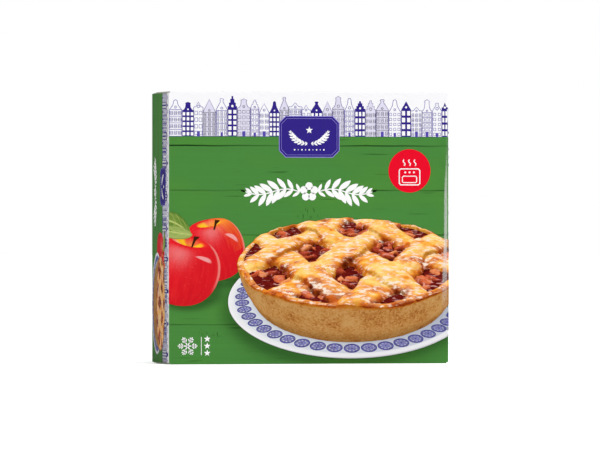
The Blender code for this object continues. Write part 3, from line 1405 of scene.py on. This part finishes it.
def glaze_colour():
    """White glaze with a pale edge, and painted shade that turns it darker and bluer towards the
    right.
    """
    x, y, _ = parts_of(attribute("place", "Vector"))
    away = vectors("LENGTH", combined(X=x, Y=y))
    well = rising(away, PLATE_RADIUS - 0.0045, PLATE_RADIUS - 0.0070)
    # Painted shade: the glaze darkens and turns bluer from left to right.
    ground = blended(rising(x, -0.10, 0.09), ink(222, 228, 238), ink(190, 197, 214))
    return use(
        print_light, Colour=blended(well, ink(238, 239, 243), ground),
        Form=attribute("form", "Vector"), Hollow=attribute("hollow"), Ambient=0.66, Lamp=0.36,
        Gloss=0.15, Gloss_width=6.0, Gloss_colour=ink(255, 255, 255))


glaze_print = printed("glaze_print", glaze_colour)
show(press(make_plate(240), PLATE_LIFT, *ON_FRONT), "front_plate", glaze_print)


# %% Rosette ring tree
def make_rosette_tree():
    """Petals round a centre inside a thin ring, repeated round a larger circle."""
    given = geometry_tree("rosette_ring", {
        "Rosettes": 48, "Ring radius": 0.11, "Size": 0.0132, "Petals": 8, "Line": 0.0012,
        "Ink": 0.0001, "Finish": FINISH, "Petal finish": FINISH})
    size, deep, finish = given["Size"], given["Ink"], given["Finish"]

    def oval(long, wide, out, colour):
        shape = add_node(
            "GeometryNodeTransform", Geometry=circle(0.5, 10), Translation=combined(X=size * out),
            Scale=combined(X=size * long, Y=size * wide, Z=1.0))
        return use(patch, Geometry=shape, Ink=deep, Finish=colour)

    petals = in_a_ring(given["Petals"], oval(0.27, 0.17, 0.225, given["Petal finish"]))
    rims = [
        use(pen, Geometry=circle(size * out, 28), Line=given["Line"] * width, Ink=deep,
            Finish=finish)
        for out, width in ((0.47, 1.0), (0.385, 0.5))]
    rosette = join(petals, oval(0.16, 0.16, 0.0, finish), *rims)
    return finished_tree(in_a_ring(given["Rosettes"], rosette, given["Ring radius"]))


rosette_tree = make_rosette_tree()
rosette_blue = flat_ink("rosette_blue", 92, 90, 172, 0.12)
rosette_pale = flat_ink("rosette_pale", 138, 137, 200, 0.12)
ROSETTE_RING = 0.1102
ROSETTE_LEVEL = 0.0018
ROSETTE_LIFT = 0.00017


def make_rosettes():
    """The plate's ring of rosettes, on the table."""
    ring = run_tree(rosette_tree, {
        "Ring radius": ROSETTE_RING, "Finish": rosette_blue, "Petal finish": rosette_pale})
    return placed(ring, z=ROSETTE_LEVEL)


show(press(make_rosettes(), ROSETTE_LIFT, *ON_FRONT), "front_rosettes")

# %% [markdown]
# ### Apples
# An apple is a turned shape with a dimple at each end and five soft lobes. It is leaned a little,
# stood on the same table as the pie and pressed with the same eye, so that it sits in the picture
# at the right size. Its skin is red with yellow flames round the stalk, small pale dots, one broad
# soft shine and the curved reflection of a window.


# %% Apple form
def make_apple(radius, tall, place, lean_right, lean_near, flush, segments=96, rings=56):
    """An apple on the table, with its own upright form and its turned form stored."""
    turns = np.arange(segments) * (2 * math.pi / segments)
    lobes = 1 + 0.012 * np.cos(5 * turns)
    radii, heights = [], []
    for angle in np.linspace(0.02, math.pi - 0.02, rings):
        share = 0.55 + 0.45 * math.cos(angle)
        radii.append(radius * math.sin(angle) ** 0.86 * (0.96 + 0.05 * share) * lobes)
        dimple = 0.34 * math.exp(-((angle / 0.36) ** 2))
        navel = 0.14 * math.exp(-(((math.pi - angle) / 0.35) ** 2))
        heights.append(radius * (tall * math.cos(angle) - dimple + navel))
    mesh = turned_grid(radii, heights, segments)
    upright = points_of(mesh) / radius
    lean = Matrix.Rotation(math.radians(lean_near), 4, "X")
    lean = lean @ Matrix.Rotation(math.radians(lean_right), 4, "Y")
    mesh.transform(Matrix.Translation(place) @ lean)
    height = points_of(mesh)[:, 2]
    store(
        mesh, place=upright, flush=np.full(len(upright), flush), form=facing_of(mesh),
        hollow=0.90 + 0.10 * smooth(height / (0.9 * radius)))
    return mesh


# %% Print of the apples
def window_shine(form):
    """The bowed reflection of a window, by which way the form faces."""
    away = vectors("SUBTRACT", form, (0.76, -0.45, 0.47))
    long = vectors("DOT_PRODUCT", away, (0.80, -0.25, -0.55)) / 0.20
    short = (vectors("DOT_PRODUCT", away, (0.60, 0.33, 0.73)) + long * long * 0.05) / 0.060
    return rising(vectors("LENGTH", combined(X=long, Y=short)), 1.0, 0.6)


def apple_colour():
    """Red skin with a yellow flame at the stalk, lit, with its shine and a painted pale rim light on
    its edge.
    """
    place = attribute("place", "Vector")
    form = vectors("NORMALIZE", attribute("form", "Vector"))
    x, y, z = parts_of(place)
    away = vectors("LENGTH", combined(X=x, Y=y))
    on_top = z > 0.0
    streaks = noise(combined(X=reckon("ARCTAN2", y, x) * 5.0, Y=z * 0.9), 1.6, 4.0, 0.65)
    red = ramp(streaks, (0.2, 214, 26, 38), (0.5, 224, 32, 42), (0.8, 234, 48, 50))
    burst = away - (streaks - 0.5) * 0.45 - attribute("flush") * (x + 0.30) * 0.62
    flame = rising(burst, 0.58, 0.02) * on_top
    gold = ramp(
        flame, (0.0, 226, 36, 42), (0.35, 230, 62, 44), (0.7, 236, 106, 50), (1.0, 242, 146, 54))
    wedge = rising(abs(x) / away, 0.50, 0.80) * rising(away, 0.42, 0.30) * on_top
    pit = rising(away, 0.16, 0.02) * on_top
    dots = rising(voronoi(place, 7.5)["Distance"], 0.13, 0.05)
    colour = stained(
        blended(rising(flame, 0.0, 0.3), red, gold), (wedge * 0.85, 250, 200, 40),
        (pit * 0.8, 110, 62, 20), (dots * 0.14, 250, 176, 150))
    colour = use(
        print_light, Colour=colour, Form=rough_form(place, (30.0, 30.0, 30.0), 0.30),
        Hollow=attribute("hollow"),
        Ambient=0.93, Lamp=0.20, Gloss=0.38, Gloss_from=(0.14, -0.66, 0.74), Gloss_width=18.0,
        Gloss_colour=ink(244, 172, 172))
    # Painted rim light: a pale line where the form turns away from the eye on its right side.
    sideways = rising(vectors("DOT_PRODUCT", form, (0.0, -0.91, 0.42)), 0.22, 0.08)
    turned = rising(vectors("DOT_PRODUCT", form, (0.95, 0.1, 0.3)), 0.5, 0.9)
    return stained(
        colour, (window_shine(form) * 0.55, 255, 205, 205),
        (sideways * turned * 0.5, 250, 170, 160))


apple_print = printed("apple_print", apple_colour)
APPLES = (
    (0.0315, 1.10, (-0.1450, 0.0367, 0.0318), -7, -2, 0.8),
    (0.0345, 1.00, (-0.1610, -0.0233, 0.0345), 17, -10, 0.1),
)
APPLE_LIFTS = (-0.00008, -0.00002)

# %% [markdown]
# ### Leaves and stalks
# The two leaves and the stalks are flat shapes between points of the photograph. A leaf is a
# small grid, wide in the middle and pointed at both ends, and its finish reads how far along and
# how far across each place is.

# %% Leaf form
SHEET = 0.00002
LEAF_RINGS = 20
LEAF_ROWS = 9


def thickened(mesh, height):
    """A flat sheet made a closed form that faces outwards."""
    with editing(mesh) as shape:
        if sum(face.normal.z * face.calc_area() for face in shape.faces) < 0:
            bmesh.ops.reverse_faces(shape, faces=shape.faces)
        under = bmesh.ops.duplicate(shape, geom=shape.verts[:] + shape.edges[:] + shape.faces[:])
        low = [part for part in under["geom"] if isinstance(part, bmesh.types.BMFace)]
        bmesh.ops.reverse_faces(shape, faces=low)
        for part in under["geom"]:
            if isinstance(part, bmesh.types.BMVert):
                part.co.z -= height
        rims = [edge for edge in shape.edges if edge.is_boundary]
        bmesh.ops.bridge_loops(shape, edges=rims)
        bmesh.ops.recalc_face_normals(shape, faces=shape.faces)
    return mesh


def make_leaf(root, tip, width, bend, sunlit, place, pixel):
    """A leaf from root to tip, given in pixels of the photograph."""
    root, tip = (Vector(place(*spot)) for spot in (root, tip))
    along = tip - root
    aside = Vector((-along.y, along.x)).normalized()
    mesh = bpy.data.meshes.new("leaf")
    grid, places = [], []
    with editing(mesh) as shape:
        for ring in range(LEAF_RINGS + 1):
            share = ring / LEAF_RINGS
            reach = width * pixel / 2 * math.sin(math.pi * share ** 0.7) ** 0.8 + 0.00004
            bow = bend * pixel * math.sin(math.pi * share)
            sides = [column / (LEAF_ROWS - 1) * 2 - 1 for column in range(LEAF_ROWS)]
            spots = [root + along * share + aside * (bow + side * reach) for side in sides]
            grid.append([shape.verts.new((spot.x, spot.y, 0.0)) for spot in spots])
            places += [(share, side, sunlit) for side in sides]
        for low_row, high_row in zip(grid, grid[1:]):
            for k in range(LEAF_ROWS - 1):
                shape.faces.new((low_row[k], high_row[k], high_row[k + 1], low_row[k + 1]))
    store(mesh, place=places)
    return thickened(mesh, SHEET)


# %% Print of the leaves
def leaf_colour():
    """Green with slanting veins, a pale rib and a dark edge."""
    place = attribute("place", "Vector")
    along, across, sunlit = parts_of(place)
    side = abs(across)
    tone = sunlit * 0.36 + noise(place, 3.5, 3.0) * 0.6 - 0.02
    colour = ramp(
        tone, (0.1, 82, 118, 44), (0.32, 116, 146, 64), (0.62, 152, 172, 92),
        (0.9, 184, 198, 126))
    veins = rising(reckon("SINE", along * 46.0 - side * 9.0), 0.7, 1.0)
    return stained(
        colour, (veins * 0.3, 196, 208, 116), (rising(side, 0.13, 0.04) * 0.7, 206, 214, 128),
        (rising(side, 0.75, 1.0) * 0.35, 40, 86, 28))


leaf_print = printed("leaf_print", leaf_colour)
stalk_brown = flat_ink("stalk_brown", 66, 38, 22, 0.3)

# %% Fruit on a panel
LEAVES = (
    ((190.6, 234.0), (141.0, 224.0), 18.5, -8.5, 0.0),
    ((192.3, 235.0), (140.0, 227.0), 12.5, 0.0, 1.0),
)
LEAF_LIFTS = (0.00026, 0.00029)
STALKS = (
    ((191.0, 247.0), (192.4, 247.2), (195.6, 240.4), (199.6, 237.0), (194.0, 236.2), (193.0, 240.0)),
    ((213.0, 229.6), (214.4, 229.8), (216.2, 224.0), (219.8, 220.4), (214.6, 219.8), (214.2, 224.0)),
)
STALK_LIFT = 0.00034
STREAK_LIFT = 0.00062


def show_fruit(names, pixel, place, panel, limits, **grid):
    """Two apples, two leaves and the stalks, named in that order."""
    for name, lift, form in zip(names, APPLE_LIFTS, APPLES):
        show(press(make_apple(*form, **grid), lift, place, panel, limits), name, apple_print)
    for name, lift, form in zip(names[2:], LEAF_LIFTS, LEAVES):
        leaf = cut_off(make_leaf(*form, place, pixel), *limits)
        show(lay(leaf, panel, lift=lift), name, leaf_print)
    outlines = [[place(*spot) for spot in outline] for outline in STALKS]
    stalks = joined([filled(outline, stalk_brown, ink_height=LAYER) for outline in outlines])
    show(lay(stalks, panel, lift=STALK_LIFT), names[4])


FRONT_FRUIT = ("rear_apple", "near_apple", "rear_leaf", "near_leaf", "stalks")
show_fruit(FRONT_FRUIT, METRES_ACROSS, *ON_FRONT)

# %% [markdown]
# ### The painted highlight beside the right fold
# Beside the right fold a long soft streak of painted highlight runs from the band down over the pie,
# where the board would catch the light. It is a strip of its own above the print, white, and thinned
# out by its Alpha, which reads how far across and how far down each place is.


# %% Painted highlight streak
def make_streak_finish():
    """A painted highlight: white that is clear at the strip's edges, with a left edge that wanders.
    """
    material, shader = varnished("painted_fold_highlight")
    x, y, _ = parts_of(attribute("place", "Vector"))
    down = 1.0 - y
    left_end = 0.78 - rising(down, 0.02, 0.35) * 0.34 - rising(down, 0.45, 0.90) * 0.30
    across = reckon("MULTIPLY", x - left_end, 5.0, clamp=True) * rising(x, 0.98, 0.80)
    along = rising(down, -0.35, 0.45) * rising(down, 1.0, 0.62)
    feed(shader, "Base Color", ink(253, 253, 250))
    feed(shader, "Alpha", across * along * 0.27)
    return material


def make_streak():
    """A narrow upright strip with its own place stored, from 0 to 1 both ways."""
    mesh = bpy.data.meshes.new("streak")
    with editing(mesh) as shape:
        bmesh.ops.create_grid(shape, x_segments=6, y_segments=24, size=0.5)
    place = points_of(mesh) + (0.5, 0.5, 0.0)
    store(mesh, place=place)
    low_left, high_right = (
        np.array((*from_photo(*spot), 0.0)) for spot in ((439.9, 318.0), (447.4, 137.0)))
    return thickened(with_points(mesh, low_left + place * (high_right - low_left)), 0.00001)


# The painted highlight strip, laid over the print beside the right fold.
show(lay(make_streak(), on_front, lift=STREAK_LIFT), "painted_fold_highlight", make_streak_finish())

# %% [markdown]
# ## White ornaments and signs
# A leafy spray stands across the middle of the front, a dark plate with two ears of wheat hangs over
# the band, a red disc carries a small oven and the lower corner a snowflake. Leaves, petals and
# rays are again repeats, so each has a tree.


# %% Spray tree
def make_spray_tree():
    """Leaves in pairs along a stem, largest in the middle."""
    given = geometry_tree("spray", {
        "Pairs": 9, "Leaf length": 0.009, "Leaf width": 0.0034, "Spread": 0.7, "Line": 0.0006,
        "Finish": FINISH}, True)
    stem = use(pen, Geometry=given["Geometry"], Line=given["Line"], Finish=given["Finish"])
    x, y, _ = parts_of(add_node("GeometryNodeInputPosition"))
    place = combined(
        X=(x + 1.0) * given["Leaf length"] * 0.5,
        Y=y * abs(y) ** 0.7 * given["Leaf width"] * 0.5)
    outline = add_node("GeometryNodeSetPosition", Geometry=circle(1.0, 16), Position=place)
    leaf = use(patch, Geometry=outline, Finish=given["Finish"])
    spots = add_node(
        "GeometryNodeCurveToPoints", {"mode": "COUNT"}, Curve=given["Geometry"],
        Count=given["Pairs"])
    way_x, way_y, _ = parts_of(spots["Tangent"])
    heading = reckon("ARCTAN2", way_y, way_x)
    share = add_node("GeometryNodeInputIndex") / (given["Pairs"] - 1.0)
    size = reckon("SINE", share * 2.2 + 0.6)
    turn = given["Spread"] * (1.0 - share ** 6.0)
    leaves = [
        on_points(
            spots["Points"], leaf, Scale=size,
            Rotation=add_node("FunctionNodeEulerToRotation", Euler=combined(Z=way)))
        for way in (heading + turn, heading - turn)]
    return finished_tree(stem, *leaves)


spray_tree = make_spray_tree()


def make_spray(stem, leaf_length, leaf_width, spread, line, lift=0.0):
    """A white spray along a stem given as points."""
    values = {
        "Leaf length": leaf_length, "Leaf width": leaf_width, "Spread": spread, "Line": line,
        "Finish": paper_white}
    return placed(run_tree(spray_tree, values, curve_of([stem], closed=False)), z=lift)


# %% Simple outlines
def round_outline(radius, sides, x=0.0, y=0.0):
    """A circle of short sides."""
    turns = [math.tau * k / sides for k in range(sides)]
    return [(x + radius * math.cos(turn), y + radius * math.sin(turn)) for turn in turns]


def clipped_outline(width, height, corner, lower=0.0):
    """An upright rectangle with its corners cut off, with its middle lowered."""
    x, y = width / 2, height / 2
    points = [
        (x - corner, -y), (x, corner - y), (x, y - corner), (x - corner, y),
        (corner - x, y), (-x, y - corner), (-x, corner - y), (corner - x, -y)]
    return [(across, up - lower) for across, up in points]


def star_outline(radius, x=0.0, y=0.0):
    """A star with five points."""
    points = []
    for k in reversed(range(10)):
        reach, turn = radius * (0.42 if k % 2 else 1.0), math.pi * k / 5
        points.append((x + reach * math.sin(turn), y + reach * math.cos(turn)))
    return points


def box_outline(left, low_end, width, height):
    """A rectangle from its lower left corner."""
    right, top = left + width, low_end + height
    return [(left, low_end), (right, low_end), (right, top), (left, top)]


# %% Leafy spray
def make_wide_spray():
    """Two mirrored sprays round a five-petalled blossom, about 110 mm across."""
    pieces = []
    for side in (1, -1):
        stem = [
            (side * (0.0075 + 0.0445 * k / 24), 0.0022 * math.sin(math.tau * k / 24))
            for k in range(25)]
        pieces.append(make_spray(stem, 0.0126, 0.0044, 0.85, 0.0010))
    for k in range(5):
        turn = math.pi / 2 + math.tau * k / 5
        x, y = 0.0046 * math.cos(turn), 0.0046 * math.sin(turn)
        pieces.append(filled(round_outline(0.0031, 20, x, y), paper_white))
    return joined(pieces)


ON_PLANKS = 0.00005
show(lay(make_wide_spray(), on_front, *from_photo(308.3, 192.0), lift=ON_PLANKS), "front_spray")


# %% Dark plate with ears of wheat
SIGN_LIFT = 0.0001


def make_wheat_plate():
    """A dark plate with clipped corners, a pale edge and two ears of wheat, as a flat drawing."""
    def clipped(less, corner):
        return clipped_outline(0.0498 - less, 0.0332 - less, corner)
    pieces = [
        filled(clipped(0.0, 0.0055), pale_blue), filled(clipped(0.0012, 0.0051), dark_blue, LAYER),
        drawn([clipped(0.0042, 0.0044)], pale_blue, 0.0003, lift=2 * LAYER)]
    for side in (1, -1):
        stem = [
            (side * (0.0016 + 0.0150 * math.sin(1.25 * k / 16)),
             0.0095 - 0.0150 * math.cos(1.25 * k / 16)) for k in range(17)]
        pieces.append(make_spray(stem, 0.0044, 0.0016, 0.62, 0.0005, 2 * LAYER))
    spots = [star_outline(0.0030, y=0.0052)]
    spots += [
        round_outline(0.0004 if k % 2 else 0.00062, 12, k * 0.0030, -0.0104)
        for k in range(-4, 5)]
    return joined(pieces + [filled(spot, paper_white, 2 * LAYER) for spot in spots])


plate_place = from_photo(308.5, 137.2)
show(lay(make_wheat_plate(), on_front, *plate_place, lift=SIGN_LIFT), "front_plate_sign")


# %% Red disc with an oven
def make_oven(lift=0.0):
    """An oven with heat above its door, in white."""
    waves = [
        [(x + 0.0008 * math.sin(math.tau * k / 12), 0.0042 + 0.0048 * k / 12) for k in range(13)]
        for x in (-0.0045, 0.0, 0.0045)]
    pieces = [
        drawn([clipped_outline(0.0170, 0.0128, 0.0012, 0.0048)], paper_white, 0.0010, lift=lift),
        drawn([clipped_outline(0.0118, 0.0052, 0.0008, 0.0068)], paper_white, 0.0008, lift=lift),
        drawn(waves, paper_white, 0.0009, closed=False, lift=lift)]
    for k in (-1, 0, 1):
        knob = round_outline(0.0008, 12, k * 0.0036, -0.0012)
        pieces.append(filled(knob, paper_white, lift))
    return joined(pieces)


disc = joined([filled(round_outline(0.0174, 56), signal_red), make_oven(LAYER)])
show(lay(disc, on_front, *from_photo(409.0, 171.0), lift=ON_PLANKS), "front_oven_disc")

# %% Snowflake tree
RAY_STROKES = (
    (0, 0, 1, 0), (0.42, 0, 0.66, 0.26), (0.42, 0, 0.66, -0.26), (0.68, 0, 0.86, 0.2),
    (0.68, 0, 0.86, -0.2))


def make_snowflake_tree():
    """One barbed ray, repeated round the middle."""
    given = geometry_tree("snowflake", {
        "Rays": 6, "Radius": 0.0045, "Line": 0.0009, "Finish": FINISH})
    strokes = []
    for ends in RAY_STROKES:
        x0, y0, x1, y1 = (given["Radius"] * float(end) for end in ends)
        line = straight((x0, y0), (x1, y1))
        strokes.append(use(pen, Geometry=line, Line=given["Line"], Finish=given["Finish"]))
    return finished_tree(in_a_ring(given["Rays"], join(*strokes)))


snowflake_tree = make_snowflake_tree()


def make_snowflake(radius):
    """A white snowflake."""
    return run_tree(snowflake_tree, {"Radius": radius, "Finish": paper_white})


# %% Snowflake sign in the lower corner
def make_cold_sign():
    """A snowflake, a thin rule and three stars."""
    rule = [(0.0112, -0.0072), (0.0112, 0.0072)]
    pieces = [make_snowflake(0.0080), drawn([rule], paper_white, 0.0005, closed=False)]
    for k in range(3):
        pieces.append(filled(star_outline(0.0028, 0.0160, 0.0056 - 0.0056 * k), paper_white))
    return joined(pieces)


show(lay(make_cold_sign(), on_front, *from_photo(187.5, 345.0), lift=ON_PLANKS), "front_cold_sign")

# %% [markdown]
# ## The side panels
# Both narrow sides carry the front's print again, smaller and lying on its side. The drawings are
# the same functions with another scale, and the pie is made once more with fewer faces, because
# nothing finer than its grid shows at that size.

# %% Places on the side panels
SIDE_PIXEL = 0.00033
SIDE_PIE = (0.168, 0.0020)
SIDE_PICTURE_BASE = 358.5
SIDE_HOUSES_SCALE = SIDE_SCALE * 1.2
SIDE_MARGIN = 0.0015
SIDE_SPRAY = (0.0800, 0.0125, 0.52)
SIDE_SIGN = (0.0758, DEPTH - SIDE_BAND + 0.0015, 0.6)
SIDE_APPLES_NEARER = 34.0
SIDE_LIMITS = (-1.0, 1.0)


def on_side_picture(px, py):
    """Pixels of the front's picture as u and v on a side panel."""
    u = SIDE_PIE[0] + (px - PICTURE_CENTRE[0]) * SIDE_PIXEL
    return u, SIDE_PIE[1] + (SIDE_PICTURE_BASE - py) * SIDE_PIXEL


def beside_side_pie(px, py):
    """The same, with the apples moved up to the pie."""
    return on_side_picture(px + SIDE_APPLES_NEARER, py)


def dress_side(name, panel):
    """Houses, plate, spray and picture on one narrow side."""
    picture = (on_side_picture, panel, SIDE_LIMITS)
    row = house_row((HEIGHT - 2 * SIDE_MARGIN) / SIDE_HOUSES_SCALE, 8)
    row = lay(row, panel, SIDE_MARGIN, DEPTH - SIDE_BAND, SIDE_HOUSES_SCALE, LAYER)
    show(row, name + "_houses")
    show(lay(make_wide_spray(), panel, *SIDE_SPRAY, ON_PLANKS), name + "_spray")
    show(lay(make_wheat_plate(), panel, *SIDE_SIGN, SIGN_LIFT), name + "_plate_sign")
    show(press(make_pie(64, 8, 260), PIE_LIFT, *picture), name + "_pie", pie_print)
    show(press(make_plate(160), PLATE_LIFT, *picture), name + "_plate", glaze_print)
    show(press(make_rosettes(), ROSETTE_LIFT, *picture), name + "_rosettes")
    ends = ("_rear_apple", "_near_apple", "_leaf_1", "_leaf_2", "_stalks")
    show_fruit(
        [name + end for end in ends], SIDE_PIXEL, beside_side_pie, panel, SIDE_LIMITS,
        segments=64, rings=36)


dress_side("left", on_left)
dress_side("right", on_right)

# %% [markdown]
# ## The back panel
# The back isn't in the photograph, so it is finished plainly: the same band and planks, two white
# fields with rules and plain bars, and three white signs that show how it goes from the freezer
# through the oven to the table.


# %% White fields with rules
def rounded_outline(width, height, radius):
    """An upright rectangle with round corners, about the middle."""
    points = []
    for quarter, (side, end) in enumerate(((1, -1), (1, 1), (-1, 1), (-1, -1))):
        for step in range(6):
            turn = math.radians(-90 + 90 * quarter + 18 * step)
            points.append((
                side * (width / 2 - radius) + radius * math.cos(turn),
                end * (height / 2 - radius) + radius * math.sin(turn)))
    return points


def make_rule_field(width, height, rows, seed):
    """A white field with a dark head, thin rules and short grey bars."""
    draw = random.Random(seed)
    inner, top = width - 0.0060, height / 2 - 0.0030
    left = -inner / 2
    head = box_outline(left, top - 0.0048, inner, 0.0048)
    pieces = [
        filled(rounded_outline(width, height, 0.0022), paper_white),
        filled(head, dark_blue, LAYER)]
    for row in range(rows):
        level = top - 0.0078 - (height - 0.0150) / rows * row
        rule = [(left, level - 0.0022), (-left, level - 0.0022)]
        pieces.append(drawn([rule], line_blue, 0.0003, closed=False, lift=LAYER))
        for start, length in (
                (left, inner * draw.uniform(0.22, 0.5)),
                (-left - 0.0090, 0.0090 * draw.uniform(0.5, 1.0))):
            bar = box_outline(start, level - 0.0006, length, 0.0013)
            pieces.append(filled(bar, print_grey, LAYER))
    return joined(pieces)


# %% Signs of the back
def make_cover_sign():
    """A pie under a dome, for the table, in white."""
    turns = [math.pi * k / 20 for k in range(21)]
    dome = [(0.0062 * math.cos(turn), 0.0062 * math.sin(turn) - 0.0010) for turn in turns]
    return joined([
        drawn([dome], paper_white, 0.0009),
        filled(box_outline(-0.0078, -0.0034, 0.0156, 0.0012), paper_white),
        filled(round_outline(0.0010, 14, 0.0, 0.0064), paper_white)])


def make_steps_sign():
    """Three ringed signs in a row, joined by arrows."""
    pieces = []
    signs = (make_snowflake(0.0075), make_oven(), make_cover_sign())
    for x, sign in zip((-0.034, 0.0, 0.034), signs):
        pieces.append(placed(sign, x, scale=0.82))
        pieces.append(drawn([round_outline(0.0118, 48, x)], paper_white, 0.0007))
    for x in (-0.017, 0.017):
        arrow = [(x - 0.0022, -0.0026), (x + 0.0024, 0.0), (x - 0.0022, 0.0026)]
        pieces.append(filled(arrow, paper_white))
    return joined(pieces)


# %% Dress the back
MIDDLE = WIDTH / 2
BACK_PIECES = (
    ("back_houses", house_row(WIDTH - 0.0040, 12), 0.0020, BAND_LOW, LAYER),
    ("back_plate_sign", make_wheat_plate(), MIDDLE, BAND_LOW - 0.0010, SIGN_LIFT),
    ("back_left_field", make_rule_field(0.078, 0.096, 13, 3), 0.0520, 0.0950, ON_PLANKS),
    ("back_right_field", make_rule_field(0.094, 0.060, 7, 4), 0.1660, 0.1130, ON_PLANKS),
    ("back_steps_sign", make_steps_sign(), 0.1660, 0.0620, ON_PLANKS),
    ("back_spray", make_wide_spray(), MIDDLE, 0.0200, ON_PLANKS),
)
for name, drawing, u, v, lift in BACK_PIECES:
    show(lay(drawing, on_back, u, v, lift=lift), name)

# %% [markdown]
# ## Top and bottom
# The outer flap of the upper closure carries the plate and the spray again. The one below carries a
# white field with plain bars.


# %% Dress the closures
def make_bar_field():
    """A white field with upright bars of mixed width."""
    draw = random.Random(9)
    pieces = [filled(rounded_outline(0.044, 0.026, 0.0015), paper_white)]
    place = -0.0180
    while place < 0.0165:
        width = draw.choice((0.0004, 0.0004, 0.0008, 0.0012))
        pieces.append(filled(box_outline(place, -0.0095, width, 0.0190), dark_blue, LAYER))
        place += width + draw.choice((0.0004, 0.0008, 0.0012))
    return joined(pieces)


FLAP_MIDDLE = (DEPTH - FLAP_SHORT_OF_BACK) / 2 + 0.004
show(lay(make_wide_spray(), on_top, WIDTH * 0.68, FLAP_MIDDLE, 0.85, ON_PLANKS), "top_spray")
show(lay(make_wheat_plate(), on_top, WIDTH * 0.24, FLAP_MIDDLE, 0.80, SIGN_LIFT), "top_plate_sign")
bar_field = lay(make_bar_field(), on_bottom, WIDTH * 0.72, DEPTH * 0.52, lift=ON_PLANKS)
show(bar_field, "bottom_field")

# %% [markdown]
# ## Floor and light
# A pale round floor, a white surround and one soft sun from above and in front. The surround is
# dimmer towards the left, which leaves the left side of the carton in the shade that the photograph
# shows. The floor glows a little for the camera alone, because the photograph shows it plain white.

# %% Floor
FLOOR_RADIUS = 40.0
FLOOR_FINISH = {
    "Base Color": (0.985, 0.985, 0.985, 1.0), "Roughness": 0.9, "Specular IOR Level": 0.1,
    "Emission Strength": 1.0}


def seen_by_camera():
    """1 for what the camera sees itself, and 0 for light on its way."""
    return add_node("ShaderNodeLightPath")["Is Camera Ray"]


def make_floor():
    """A wide pale disc under the carton."""
    mesh = bpy.data.meshes.new("floor")
    with editing(mesh) as shape:
        bmesh.ops.create_circle(shape, cap_ends=True, segments=96, radius=FLOOR_RADIUS)
    pale = bpy.data.materials.new("pale_floor")
    pale.use_nodes = True
    shader = open_tree(pale.node_tree).nodes["Principled BSDF"]
    for key, value in FLOOR_FINISH.items():
        feed(shader, key, value)
    feed(shader, "Emission Color", seen_by_camera() * 0.30 + 0.12)
    mesh.materials.append(pale)
    put_in_scene("floor", mesh)


make_floor()

# %% Light
SURROUND = 0.55
SURROUND_TO_RIGHT = 0.35
LEFT_SHADE = 0.27
SURROUND_TO_BACK = 0.16
SUN_STRENGTH = 1.76
SUN_WIDTH = math.radians(30)
SUN_FROM = Vector((0.10, -0.49, 0.84))


def make_light():
    """A white surround that is dimmer on the left and in front, and a broad soft sun."""
    world = bpy.data.worlds.new("surround")
    world.use_nodes = True
    open_tree(world.node_tree).nodes.clear()
    x, y, _ = parts_of(add_node("ShaderNodeTexCoord")["Generated"])
    strength = x * SURROUND_TO_RIGHT + SURROUND + y * SURROUND_TO_BACK
    strength = strength + reckon("MINIMUM", x, 0.0) * LEFT_SHADE
    strength = reckon("MAXIMUM", strength, seen_by_camera())
    glow = add_node("ShaderNodeBackground", Color=WHITE, Strength=strength)
    add_node("ShaderNodeOutputWorld", Surface=glow)
    bpy.context.scene.world = world
    sun = bpy.data.lights.new("soft_sun", "SUN")
    sun.energy = SUN_STRENGTH
    sun.angle = SUN_WIDTH
    lamp = put_in_scene("soft_sun", sun)
    lamp.rotation_euler = SUN_FROM.to_track_quat("Z", "Y").to_euler()
    bpy.context.scene.view_settings.view_transform = "Standard"


make_light()
